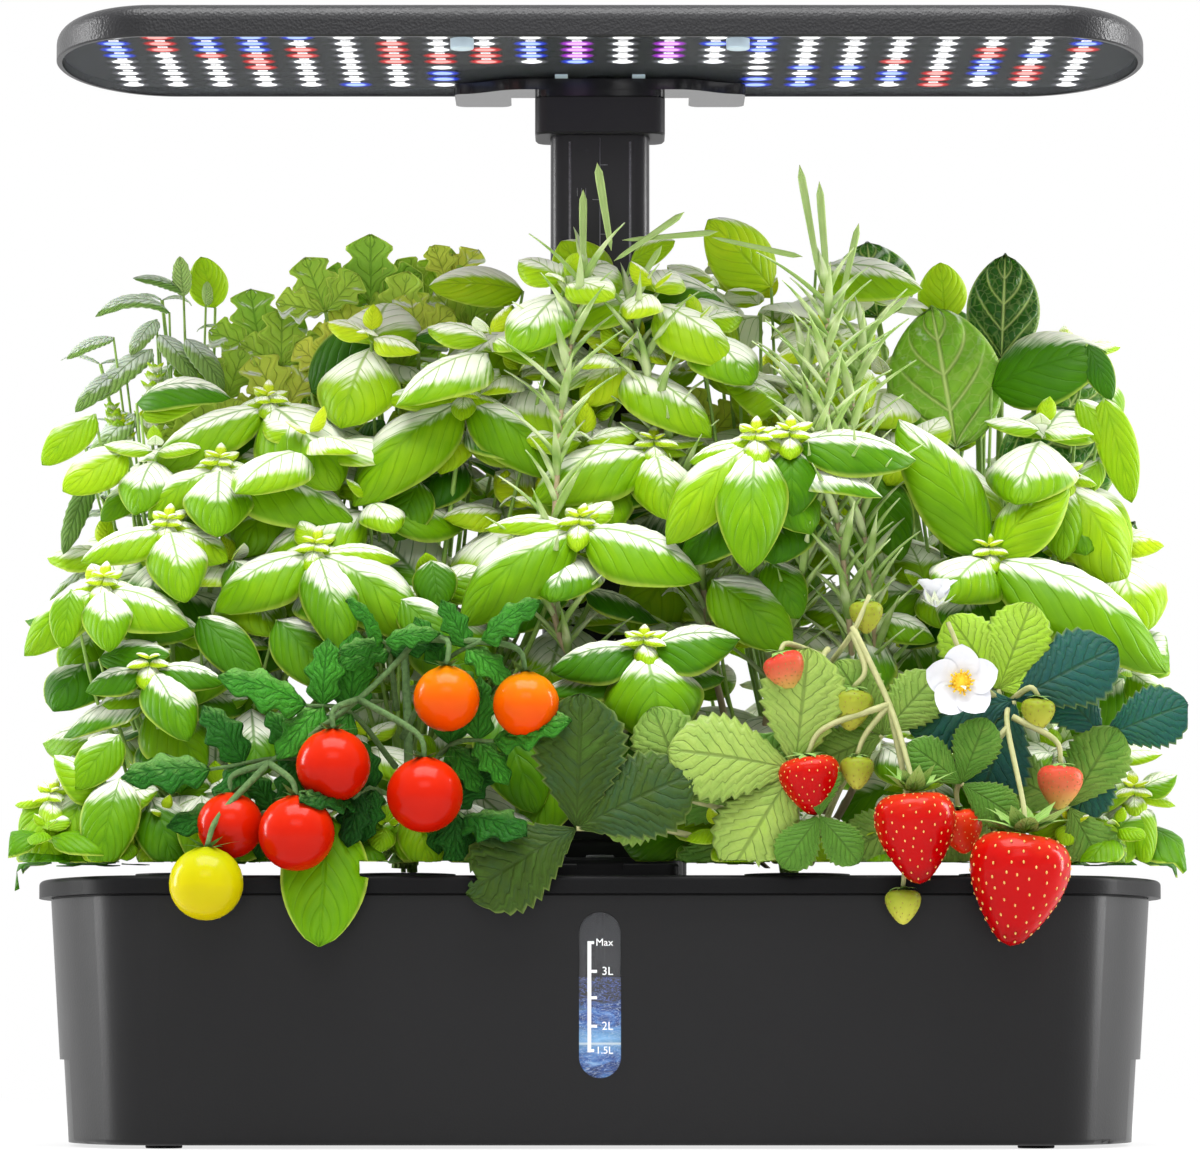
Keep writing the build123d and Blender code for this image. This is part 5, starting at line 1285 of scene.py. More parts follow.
def mintShoot(foot, tip, pairs, size, tone, seed, droop=95.0):
    dice = random.Random(seed)
    foot, tip = np.asarray(foot, float), np.asarray(tip, float)
    line = smoothLine([foot, foot * 0.5 + tip * 0.5 + np.array([2, 1, 8]), tip], 8)
    parts = [tube([foot, foot * 0.5 + tip * 0.5 + np.array([2, 1, 8]), tip], 1.4, 0.7)]
    for level in range(pairs):
        place = line[-1 - int(level * (len(line) - 4) / pairs)]
        grown = 0.35 + 0.65 * min(1, level / 3)
        for side in (0, 180):
            angle = 20 + 90 * (level % 2) + side + dice.uniform(-20, 20)
            length = size * grown * dice.uniform(0.85, 1.15)
            parts.append(blade(place, heading(angle, 45 - 8 * level), length, length * 0.34, "lance",
                               droop + dice.uniform(-20, 20), cup=0.5, tone=tone + dice.uniform(-0.2, 0.2),
                               teeth=9, toothDepth=0.2, rows=18, columns=6, material="mintLeaf",
                               twist=dice.uniform(-30, 30)))
    return parts


mintShoots = (  # tip (x, y, z), pairs, size, tone
    ((-160, 44, 306), 5, 40, 0.5), ((-182, 40, 282), 5, 40, 0.35), ((-138, 50, 296), 4, 34, 0.7),
    ((-186, 30, 250), 5, 44, 0.3), ((-150, 66, 290), 5, 38, 0.45), ((-176, 66, 262), 5, 38, 0.4),
    ((-120, 70, 250), 4, 36, 0.4), ((-160, 60, 220), 5, 40, 0.3), ((-184, 56, 190), 5, 36, 0.35),
    ((-132, 64, 180), 5, 38, 0.3), ((-168, 40, 160), 4, 34, 0.3),
)
mintLeaves = (  # base, tip, width, arch, tone
    ((-157, 40, 301), (-183, 30, 298), 10, 110, 0.35), ((-152, 42, 309), (-170, 36, 313), 8, 60, 0.2),
    ((-152, 42, 307), (-153, 36, 321), 8, 20, 0.75), ((-144, 44, 304), (-143, 38, 312), 6, 20, 0.7),
    ((-163, 36, 287), (-182, 22, 266), 13, 50, 0.55), ((-182, 12, 238), (-191, 2, 209), 10, 30, 0.2),
    ((-160, 34, 292), (-146, 26, 274), 11, 50, 0.6), ((-172, 30, 279), (-189, 20, 262), 11, 50, 0.35),
    ((-150, 30, 290), (-136, 24, 270), 11, 60, 0.5), ((-168, 24, 262), (-184, 14, 240), 12, 50, 0.5),
    ((-162, 44, 299), (-170, 30, 284), 9, 40, 0.6), ((-176, 26, 290), (-192, 18, 281), 8, 60, 0.45),
)
mintSpikes = (((-162, 22, 256), (-160, 18, 276)), ((-172, 24, 250), (-176, 20, 262)))  # foot, tip


def mintSpike(foot, tip, seed):
    # tight whorls of small bracts at the head of a shoot
    dice = random.Random(seed)
    parts = [tube([foot, tip], 1.2, 0.7)]
    for ring in range(6):
        place = np.asarray(foot) + (np.asarray(tip) - foot) * ring / 5
        for index in range(6):
            angle = 60 * index + 30 * ring + dice.uniform(-12, 12)
            length = (8.5 - 0.8 * ring) * dice.uniform(0.8, 1.2)
            parts.append(blade(place, heading(angle, 34), length, length * 0.62, "ovate", -30, cup=-0.4,
                               tone=dice.uniform(0.55, 0.95), rows=6, columns=4))
    return parts


def spinachLeaf(pod, place, length, width, lean, tone, facing, seed):
    # place is the leaf's middle; it stands nearly upright on a long stalk
    dice = random.Random(seed)
    place = np.asarray(place, float)
    rise = np.array([math.sin(math.radians(lean)), 0.18 * facing, math.cos(math.radians(lean))])
    base = place - unit(rise) * length * 0.5
    foot = np.array([*pods[pod], garden["spongeTop"] - 6])
    parts = [tube([foot, foot * 0.45 + base * 0.55 + np.array([0, 3, 0]), base], 1.8, 1.2)]
    parts.append(blade(base, rise, length, width, "round", 22, cup=0.22, tone=tone, up=(0, -1, 0.1),
                       pucker=0.03, sideVeins=4, slope=1.1, rows=22, columns=14, material="spinachLeaf",
                       twist=dice.uniform(-12, 12)))
    return parts


spinachLeaves = (  # middle (x, y, z), length, width, lean, tone
    ((124, 18, 276), 56, 42, -8, 0.78), ((148, 48, 306), 44, 27, 4, 0.12), ((100, 52, 316), 32, 32, -6, 0.30),
    ((162, 8, 250), 42, 27, 62, 0.25), ((172, 40, 268), 40, 26, 30, 0.45), ((134, 60, 290), 40, 28, -14, 0.6),
    ((176, 60, 250), 44, 30, 26, 0.30), ((118, 72, 262), 44, 32, -20, 0.25),
    ((156, 72, 240), 46, 32, 10, 0.45),
    ((184, 52, 214), 40, 26, 44, 0.35), ((136, 56, 226), 46, 32, -8, 0.2), ((108, 68, 216), 40, 28, -30, 0.4),
    ((166, 66, 190), 44, 30, 18, 0.3), ((130, 74, 180), 44, 30, -10, 0.3), ((150, 34, 196), 44, 30, 4, 0.3),
    ((182, 30, 170), 38, 26, 40, 0.4),
)


def trefoil(hub, size, angles, tone, foot=None, facing=-0.25, arch=26, stalk="berryStalk", wide=0.78,
            droops=(0, 0, 0)):
    # three toothed leaflets round a hub, faced to the front
    hub = np.asarray(hub, float)
    parts = []
    for angle, share, droop in zip(angles, (1.0, 0.95, 0.95), droops):
        turn = math.radians(angle)
        way = np.array([math.cos(turn), facing + droop, math.sin(turn)])
        length = size * share
        parts.append(blade(hub, way, length, length * wide, "fan", arch, cup=0.20, tone=tone,
                           up=(0, -1, 0.25), teeth=11, toothDepth=0.17, pucker=0.013, sideVeins=10, slope=2.2,
                           rows=44, columns=12, material="berryLeaf"))
    if foot is not None:
        foot = np.asarray(foot, float)
        bend = (foot + hub) / 2 + np.array([0, -4, 10])
        parts.append(tube([foot, bend, hub], 1.3, 0.9, material=stalk))
    return parts


berryLeaves = {  # hub, size, leaflet angles, tone
    3: (((-8, -86, 108), 46, (88, 208, 28), 0.24), ((66, -84, 128), 44, (168, 236, 84), 0.72),
        ((74, -90, 112), 22, (232, 312, 90), 0.48), ((30, -78, 118), 34, (110, 190, 30), 0.60),
        ((96, -76, 140), 30, (120, 200, 50), 0.62), ((46, -66, 112), 34, (60, 150, 240), 0.5)),
    4: (((122, -88, 123), 24, (70, 140, 330), 0.50), ((141, -74, 152), 40, (30, 190, 250), 0.02),
        ((172, -66, 140), 32, (24, 130, 250), 0.00), ((136, -72, 156), 32, (70, 122, 20), 0.90),
        ((110, -72, 112), 30, (200, 270, 330), 0.6), ((160, -68, 116), 32, (60, 150, 300), 0.55)),
}


def tomatoLeaf(foot, tip, size, tone, seed):
    # compound leaf: lobed leaflets in pairs along a hairy rib, and one at the end
    dice = random.Random(seed)
    foot, tip = np.asarray(foot, float), np.asarray(tip, float)
    bend = (foot + tip) / 2 + np.array([0, -3, 8])
    line = smoothLine([foot, bend, tip], 8)
    along = unit(tip - foot)
    parts = [tube([foot, bend, tip], 1.2, 0.6, material="hairyStalk")]
    shape = dict(outline="ovate", material="tomatoLeaf", lobes=3, lobeDepth=0.36, rows=22, columns=8,
                 pucker=0.03, sideVeins=6, slope=1.5, up=(0, -0.8, 0.6))
    parts.append(blade(line[-1], along + np.array([0, -0.2, 0]), size, size * 0.62, arch=40, cup=0.3,
                       tone=tone, **shape))
    side = unit(np.cross(along, (0, -1, 0.3)))
    for share in (0.55, 0.85):
        place = line[int(share * (len(line) - 1))]
        for way in (1, -1):
            direction = along * 0.5 + side * way + np.array([0, -0.3, -0.1])
            length = size * 0.8 * dice.uniform(0.8, 1.1)
            parts.append(blade(place, direction, length, length * 0.6, arch=45 + dice.uniform(-10, 15),
                               cup=0.3, tone=tone + dice.uniform(-0.12, 0.12), **shape))
    return parts


tomatoLeaves = (  # foot, tip, leaflet size, tone
    ((-70, -60, 130), (-100, -80, 150), 28, 0.55), ((-72, -60, 120), (-132, -84, 128), 26, 0.35),
    ((-68, -58, 140), (-40, -82, 172), 22, 0.50), ((-66, -56, 120), (-36, -78, 138), 26, 0.55),
    ((-70, -56, 110), (-84, -82, 118), 24, 0.18), ((-66, -52, 110), (-46, -76, 112), 26, 0.30),
    ((-72, -54, 106), (-120, -78, 112), 24, 0.30), ((-70, -56, 150), (-74, -80, 172), 22, 0.45),
)


# Rosemary: needles wound round woody stems

rosemary = {"needles": 60, "needleLength": 27.0, "needleWidth": 4.8, "turnPerNeedle": 137.5, "tilt": 31.0,
            "seed": 7}
rosemaryStems = (  # points of each stem
    ((68, 0, 88), (24, -18, 130), (-14, -40, 176), (-15, -36, 232), (-12, -26, 270), (-5, -18, 308)),
    ((68, 0, 88), (44, -10, 150), (34, -16, 210), (22, -14, 250), (11, -10, 296)),
    ((68, 0, 88), (88, -12, 142), (86, -38, 190), (80, -40, 240), (80, -24, 300)),
    ((68, 0, 88), (96, -10, 142), (94, -34, 196), (88, -30, 250), (94, -14, 284)),
    ((68, 0, 88), (58, -8, 144), (70, -36, 196), (74, -36, 232), (72, -20, 276)),
)


def makeNeedleTree():
    inputs = [("Needles", "count", 40), ("Length", "length", 0.016), ("Width", "length", 0.0017),
              ("Tilt", "length", 0.8), ("Turn", "length", 2.4), ("Seed", "count", 1),
              ("Material", "material", None)]
    tree, given, out = newTree("needlesAlongStem", inputs)
    points = addNode(tree, "GeometryNodeCurveToPoints", {"Curve": given["Geometry"],
                                                         "Count": given["Needles"]}, mode="COUNT")
    cone = addNode(tree, "GeometryNodeMeshCone", {"Vertices": 5, "Side Segments": 6, "Radius Top": 0.12,
                                                  "Radius Bottom": 0.5, "Depth": 1.0}).outputs["Mesh"]
    place = addNode(tree, "GeometryNodeInputPosition").outputs[0]
    split = addNode(tree, "ShaderNodeSeparateXYZ", {"Vector": place})
    bow = maths(tree, "MULTIPLY", maths(tree, "POWER", split.outputs["Z"], 2.0), -1.2)  # curls outward
    swell = maths(tree, "SINE", maths(tree, "MULTIPLY_ADD", split.outputs["Z"], 2.6, 0.45))
    bent = maths(tree, "MULTIPLY_ADD", split.outputs["Y"], 0.45, bow)
    flat = addNode(tree, "ShaderNodeCombineXYZ", {"X": maths(tree, "MULTIPLY", split.outputs["X"], swell),
                                                  "Y": bent,
                                                  "Z": split.outputs["Z"]}).outputs[0]
    needle = addNode(tree, "GeometryNodeSetPosition", {"Geometry": cone, "Position": flat}).outputs[0]
    index = addNode(tree, "GeometryNodeInputIndex").outputs[0]
    dice = addNode(tree, "FunctionNodeRandomValue", {2: 0.7, 3: 1.15, "ID": index, "Seed": given["Seed"]},
                   data_type="FLOAT").outputs[1]
    longer = maths(tree, "MULTIPLY", given["Length"], dice)
    size = addNode(tree, "ShaderNodeCombineXYZ", {"X": given["Width"], "Y": given["Width"],
                                                  "Z": longer}).outputs[0]
    spin = maths(tree, "MULTIPLY", index, given["Turn"])
    jitter = addNode(tree, "FunctionNodeRandomValue", {2: -0.25, 3: 0.25, "ID": index,
                                                       "Seed": given["Seed"]}, data_type="FLOAT").outputs[1]
    tilt = maths(tree, "ADD", given["Tilt"], jitter)
    turned = addNode(tree, "ShaderNodeCombineXYZ", {"X": tilt, "Y": 0.0, "Z": spin}).outputs[0]
    needles = addNode(tree, "GeometryNodeInstanceOnPoints",
                      {"Points": points.outputs["Points"], "Instance": needle, "Rotation": turned,
                       "Scale": size}).outputs[0]
    finishTree(tree, needles, given["Material"], out)
    return tree


def makeRosemaryNeedles():
    tree = makeNeedleTree()
    pieces = []
    for number, points in enumerate(rosemaryStems):
        line = smoothLine(points, 8)[10:]
        curve = bpy.data.curves.new("rosemaryStem", "CURVE")
        curve.dimensions = "3D"
        spline = curve.splines.new("POLY")
        spline.points.add(len(line) - 1)
        for point, place in zip(spline.points, line):
            point.co = (*(place * mm), 1)
        source = newObject("rosemaryStem", curve)
        pieces.append(runTree("rosemaryNeedles", source, tree, Needles=rosemary["needles"],
                              Length=rosemary["needleLength"] * mm, Width=rosemary["needleWidth"] * mm,
                              Tilt=math.radians(rosemary["tilt"]),
                              Turn=math.radians(rosemary["turnPerNeedle"]), Seed=rosemary["seed"] + number,
                              Material=living["rosemary"]))
    return pieces


def meshPart(piece, material):
    # an object's mesh back as a part, in millimetres
    mesh = piece.data
    vertices = np.array([vertex.co for vertex in mesh.vertices]) / mm
    faces = [tuple(polygon.vertices) for polygon in mesh.polygons]
    dice = np.random.default_rng(3)
    tone = np.repeat(dice.uniform(0.2, 1.0, len(vertices) // 6 + 1), 6)[:len(vertices)]
    bpy.data.objects.remove(piece)
    return vertices, faces, np.full((len(vertices), 2), 0.3), tone, material


def rosemaryParts():
    parts = [meshPart(piece, "rosemaryNeedle") for piece in makeRosemaryNeedles()]
    for points in rosemaryStems:
        parts.append(tube(points, 1.5, 0.7, material="woodyStem"))
    tips = (((4, -12, 316), (-1, -8, 348), 3.4), ((-6, -16, 304), (-6, -10, 338), 3.2),
            ((78, -16, 304), (71, -10, 347), 3.2), ((81, -16, 296), (78, -10, 341), 3.2),
            ((5, -14, 312), (30, -10, 330), 2.8), ((8, -10, 320), (42, -10, 323), 2.6),
            ((40, -10, 321), (72, -10, 314), 2.4), ((84, -14, 292), (92, -10, 326), 2.8),
            ((86, -14, 280), (110, -10, 300), 2.6), ((6, -14, 292), (22, -10, 318), 2.6))
    for foot, tip, width in tips:
        foot, tip = np.array(foot, float), np.array(tip, float)
        parts.append(blade(foot, tip - foot, np.linalg.norm(tip - foot), width, "strap", 8, cup=0.5,
                           tone=0.6, up=(0, -1, 0.1), rows=10, columns=4, material="rosemaryNeedle",
                           curl=-14))
    return parts


# Fruit

def calyx(centre, radius, count, tone, material="basilLeaf", rise=25, arch=-20, width=0.34, seed=1):
    dice = random.Random(seed)
    parts = []
    for index in range(count):
        angle = 360 * index / count + dice.uniform(-10, 10)
        length = radius * dice.uniform(0.85, 1.15)
        parts.append(blade(centre, heading(angle, rise + dice.uniform(-14, 10)), length, length * width,
                           "sepal", arch + dice.uniform(-20, 20), cup=0.3, tone=tone, rows=7, columns=4,
                           pucker=0.0, material=material))
    return parts


def tomatoProfile(radius):
    points = [(0.0, radius * 0.93), (radius * 0.10, radius * 0.935), (radius * 0.24, radius * 0.985)]
    for step in range(3, 16):
        angle = math.pi * step / 16
        points.append((radius * math.sin(angle) * 1.01, radius * math.cos(angle)))
    points.append((0.0, -radius))
    return points


def berryProfile(radius, length):
    # from the sunken top round the shoulder to a blunt tip
    shape = ((0.0, -0.03), (0.28, -0.01), (0.58, 0.0), (0.83, -0.06), (0.96, -0.15), (1.0, -0.26),
             (0.97, -0.38), (0.89, -0.50), (0.78, -0.61), (0.65, -0.715), (0.51, -0.81), (0.37, -0.89),
             (0.22, -0.96), (0.0, -1.0))
    line = smoothLine([(share * radius, drop * length, 0) for share, drop in shape], 3)
    return [(max(0.0, point[0]), point[1]) for point in line]


def makeSeedTree():
    inputs = [("Spacing", "length", 0.0026), ("Seed length", "length", 0.0011), ("Dimple", "length", 0.0005),
              ("Reach", "length", 0.0012), ("Random", "count", 5), ("Seed material", "material", None)]
    tree, given, out = newTree("berrySeeds", inputs)
    points = addNode(tree, "GeometryNodeDistributePointsOnFaces",
                     {"Mesh": given["Geometry"], "Distance Min": given["Spacing"], "Density Max": 400000.0,
                      "Seed": given["Random"]}, distribute_method="POISSON")
    nearby = addNode(tree, "GeometryNodeProximity", {0: points.outputs["Points"]}, target_element="POINTS")
    near = addNode(tree, "ShaderNodeMapRange", {"Value": nearby.outputs["Distance"], "From Min": 0.0,
                                                "From Max": given["Reach"], "To Min": 1.0, "To Max": 0.0},
                   interpolation_type="SMOOTHSTEP").outputs[0]
    normal = addNode(tree, "GeometryNodeInputNormal").outputs[0]
    depth = maths(tree, "MULTIPLY", maths(tree, "MULTIPLY", near, given["Dimple"]), -1.0)
    sunk = addNode(tree, "GeometryNodeSetPosition",
                   {"Geometry": given["Geometry"], "Offset": vectorMaths(tree, "SCALE", normal, scale=depth)})
    grain = addNode(tree, "GeometryNodeMeshIcoSphere", {"Radius": 0.5, "Subdivisions": 1}).outputs[0]
    slim = maths(tree, "MULTIPLY", given["Seed length"], 0.6)
    size = addNode(tree, "ShaderNodeCombineXYZ", {"X": slim, "Y": given["Seed length"],
                                                  "Z": maths(tree, "MULTIPLY", slim, 0.8)}).outputs[0]
    seeds = addNode(tree, "GeometryNodeInstanceOnPoints",
                    {"Points": points.outputs["Points"], "Instance": grain,
                     "Rotation": points.outputs["Rotation"], "Scale": size}).outputs[0]
    lower = addNode(tree, "GeometryNodeRealizeInstances", {"Geometry": seeds}).outputs[0]
    seedSkin = addNode(tree, "GeometryNodeSetMaterial", {"Geometry": lower,
                                                         "Material": given["Seed material"]}).outputs[0]
    joined = addNode(tree, "GeometryNodeJoinGeometry")
    tree.links.new(sunk.outputs[0], joined.inputs[0])
    tree.links.new(seedSkin, joined.inputs[0])
    smooth = addNode(tree, "GeometryNodeSetShadeSmooth", {"Geometry": joined.outputs[0]}).outputs[0]
    tree.links.new(smooth, out["Geometry"])
    return tree


tomatoes = (  # centre (x, y, z), radius, skin
    ((-52, -84, 152), 11.2, "tomatoOrange"), ((-25, -84, 150), 11.2, "tomatoOrange"),
    ((-90, -90, 129), 12.5, "tomatoRed"), ((-59, -92, 119), 12.8, "tomatoRed"),
    ((-102, -95, 106), 12.8, "tomatoRed"), ((-125, -84.5, 109), 11.2, "tomatoRed"),
    ((-132, -98, 89), 12.4, "tomatoYellow"),
)
tomatoStalks = (
    ((-68, -46, 178), (-62, -72, 174), (-82, -80, 152), (-112, -86, 130)),
    ((-62, -72, 174), (-52, -80, 172), (-52, -84, 163)), ((-58, -76, 173), (-30, -82, 170), (-25, -84, 161)),
    ((-82, -80, 152), (-90, -88, 148), (-90, -90, 141)), ((-82, -80, 152), (-62, -90, 140), (-59, -92, 131)),
    ((-112, -86, 130), (-104, -92, 124), (-102, -95, 118)),
    ((-112, -86, 130), (-124, -84, 126), (-125, -84.5, 120)),
    ((-112, -86, 130), (-128, -94, 112), (-132, -98, 101)),
)
berries = (  # pod, top (x, y, z), radius, skin, tilt in degrees
    (3, (105, -99, 119), 13.8, "berryRed", -4), (4, (142, -102, 105), 17.0, "berryRed", 8),
    (3, (70, -86, 132), 10.5, "berryRed", -8), (4, (121, -84, 114), 7.8, "berryOrange", -10),
    (3, (61, -84, 167), 7.1, "berryPink", -20), (3, (86, -80, 155), 7.3, "berryGreen", 6),
    (3, (91, -70, 186), 5.8, "berryGreen", 0), (3, (87, -84, 132), 5.8, "berryGreen", 0),
    (4, (149, -80, 152), 5.8, "berryGreen", 4), (4, (156, -84, 129), 7.8, "berryPink", 4),
    (3, (102, -90, 87), 6.1, "berryGreen", 0), (3, (75, -78, 162), 5.1, "berryGreen", 10),
)
runners = {  # stalks that carry the berries, by pod
    3: (((68, -46, 137), (76, -64, 160), (86, -76, 175), (92, -74, 188)),
        ((76, -64, 168), (64, -80, 171), (61, -84, 168)),
        ((78, -66, 170), (76, -76, 167), (75, -78, 162)), ((86, -76, 175), (90, -80, 162), (86, -80, 156)),
        ((98, -84, 150), (76, -86, 142), (70, -86, 133)), ((98, -84, 150), (90, -84, 140), (87, -84, 133)),
        ((86, -76, 177), (98, -84, 150), (104, -94, 128), (105, -99, 120)),
        ((98, -84, 150), (104, -85.6, 116), (102, -90, 88))),
    4: (((142, -46, 137), (140, -66, 150), (138, -84, 142), (142, -98, 116), (142, -102, 106)),
        ((140, -70, 152), (146, -80, 156), (149, -80, 153)),
        ((138, -84, 142), (122, -84, 124), (121, -84, 115)),
        ((140, -80, 146), (154, -84, 138), (156, -84, 130)),
        ((140, -66, 150), (126, -84, 160), (118, -84, 178))),
}
flowers = (((122, -90, 157), 12.5, True), ((114, -84, 183), 8.0, False))


def makeBerry(top, radius, skin, tilt, seedTree, seed):
    length = 1.9 * radius if radius < 12 else 2.2 * radius
    part = lathe(berryProfile(radius, length), 40, skin)
    turn = Matrix.Rotation(math.radians(tilt), 4, "Y")
    body = joinParts("berryBody", [moved(part, (0, 0, 0), turn)])
    seedSkin = living["seedPale"] if skin in ("berryRed", "berryOrange") else living["seedBrown"]
    share = radius / 13.8
    piece = runTree("berry", body, seedTree, Spacing=(2.9 if share > 0.6 else 2.1) * mm * max(0.75, share),
                    Seed_length=1.05 * mm * max(0.6, share), Dimple=0.6 * mm * max(0.6, share),
                    Reach=1.15 * mm * max(0.7, share), Random=seed, Seed_material=seedSkin)
    piece.data.transform(Matrix.Translation(Vector(top) * mm))
    return piece


def joinObjects(name, pieces):
    # several meshes into one object, keeping materials and attributes
    with bpy.context.temp_override(active_object=pieces[0], object=pieces[0], selected_objects=pieces,
                                   selected_editable_objects=pieces):
        bpy.ops.object.join()
    pieces[0].name = name
    return pieces[0]


def petal(centre, angle, size):
    turn = math.radians(angle)
    way = np.array([math.cos(turn), -0.22, math.sin(turn)])
    return blade(np.asarray(centre, float) + way * 1.2, way, size, size * 0.98, "round", -20, cup=-0.16,
                 tone=0.5, up=(0, -1, 0), pucker=0.02, sideVeins=3, slope=0.3, rows=12, columns=10,
                 material="petalWhite", twist=8)


def flowerParts(centre, size, open_):
    centre = np.asarray(centre, float)
    parts = []
    if open_:
        for index in range(5):
            parts.append(petal(centre, 90 + 72 * index, size))
        dice = random.Random(11)
        profile = [(0, 1.6), (1.6, 1.3), (2.9, 0.5), (3.3, -0.6), (2.4, -1.4), (0, -1.6)]
        heart = lathe(profile, 14, "stamenYellow")
        facing = Matrix.Rotation(math.radians(100), 4, "X")
        parts.append(moved(heart, centre + np.array([0, -1.2, 0]), facing))
        for index in range(26):
            turn, reach = index * 2.4, 1.0 + 3.6 * math.sqrt((index + 0.5) / 26)
            out = -2.8 - dice.uniform(0, 1.2)
            tip = centre + np.array([math.cos(turn) * reach, out, math.sin(turn) * reach])
            foot = centre + np.array([math.cos(turn) * reach * 0.6, -1.0, math.sin(turn) * reach * 0.6])
            parts.append(tube([foot, tip], 0.22, 0.42, 4, 1, material="stamenYellow"))
        parts += calyx(centre + np.array([0, 1.6, 0]), size * 0.7, 5, 0.5, rise=0, arch=10, seed=5)
    else:
        for index in range(5):
            angle = 72 * index
            way = heading(angle, 68)
            parts.append(blade(centre, way, size * 1.5, size * 1.15, "round", -34, cup=0.5, tone=0.5,
                               up=heading(angle, -22), rows=10, columns=8, pucker=0.0, material="petalWhite"))
        parts += calyx(centre + np.array([0, 0, 0.5]), size * 0.95, 8, 0.6, rise=24, arch=-10, seed=6)
    return parts


def makeTrusses():
    seedTree = makeSeedTree()
    parts = []
    for number, (centre, radius, skin) in enumerate(tomatoes):
        parts.append(moved(lathe(tomatoProfile(radius), 32, skin), centre))
        top = np.array(centre) + np.array([0, 0, radius * 0.95])
        parts += calyx(top, radius * 0.85, 6, 0.4, "tomatoLeaf", rise=20, arch=20, width=0.2, seed=number)
    for points in tomatoStalks:
        parts.append(tube(points, 1.3, 0.9, material="hairyStalk"))
    piece = joinParts("tomatoTruss", parts)
    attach(piece, "pod_02")
    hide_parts("tomato_truss")
    for pod, node in ((3, "strawberry_truss_left"), (4, "strawberry_truss_right")):
        bodies, parts = [], []
        for number, (owner, top, radius, skin, tilt) in enumerate(berries):
            if owner != pod:
                continue
            bodies.append(makeBerry(top, radius, skin, tilt, seedTree, 20 + number))
            ripe = radius > 12
            parts += calyx(np.array(top) + np.array([0, 0, 0.8]), radius * (1.05 if ripe else 0.85), 9, 0.5,
                           "calyxGreen", rise=46 if ripe else 16, arch=24 if ripe else 50, width=0.44,
                           seed=40 + number)
        for points in runners[pod]:
            parts.append(tube(points, 1.2, 0.8, material="berryStalk"))
        if pod == 4:
            for centre, size, open_ in flowers:
                parts += flowerParts(centre, size, open_)
        greens = joinParts("berryGreens", parts)
        piece = joinObjects(f"berryTruss{pod}", [greens, *bodies])
        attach(piece, f"pod_{pod:02d}")
        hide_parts(node)


makeTrusses()
print("fruit made")


# Sponges and foliage, one piece of each per pod

def makeSponge(pod):
    x, y = pods[pod]
    top, foot = garden["spongeTop"], garden["spongeTop"] - garden["spongeHeight"]
    profile = [(0, top - 12), (2.8, top - 11.6), (2.9, top - 0.6), (3.6, top),
               (garden["spongeRadius"] - 1, top - 0.1),
               (garden["spongeRadius"], top - 1.4), (garden["spongeFoot"], foot + 1.2),
               (garden["spongeFoot"] - 1.2, foot), (0, foot)]
    piece = joinParts(f"sponge{pod:02d}", [moved(lathe(profile, 24, "growSponge"), (x, y, 0))])
    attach(piece, f"pod_{pod:02d}")
    return piece


fillers = {  # by pod: low, high, x range, y range, leaf length, tone and, where it isn't 30, pitch
    1: ((112, 196, (-188, -106), (-52, -30), 30, 0.36), (100, 118, (-190, -112), (-74, -62), 24, 0.44, 16)),
    2: ((100, 160, (-112, -30), (-50, -30), 28, 0.32), (100, 116, (-112, -34), (-70, -60), 24, 0.40, 18)),
    3: ((98, 150, (22, 104), (-62, -40), 26, 0.36), (100, 114, (34, 104), (-74, -64), 22, 0.42, 18)),
    4: ((98, 156, (100, 190), (-62, -34), 28, 0.40), (100, 116, (100, 190), (-74, -62), 24, 0.46, 17)),
    5: ((126, 256, (-186, -104), (-22, 10), 38, 0.42),),
    6: ((122, 296, (-108, -26), (-26, 14), 40, 0.45), (150, 318, (-32, 32), (-18, 12), 40, 0.58),
        (236, 304, (-14, 14), (-14, 2), 36, 0.55)),
    7: ((140, 300, (26, 104), (-22, 14), 38, 0.50),),
    8: ((120, 262, (104, 190), (-24, 6), 38, 0.45),),
    9: ((130, 262, (-186, -112), (38, 66), 36, 0.36),),
    10: ((126, 296, (-112, -32), (34, 72), 38, 0.40),),
    11: ((126, 322, (32, 112), (30, 72), 40, 0.55), (262, 324, (28, 100), (8, 40), 38, 0.66)),
    12: ((126, 236, (110, 188), (36, 70), 38, 0.42), (236, 304, (112, 186), (62, 80), 34, 0.45)),
}


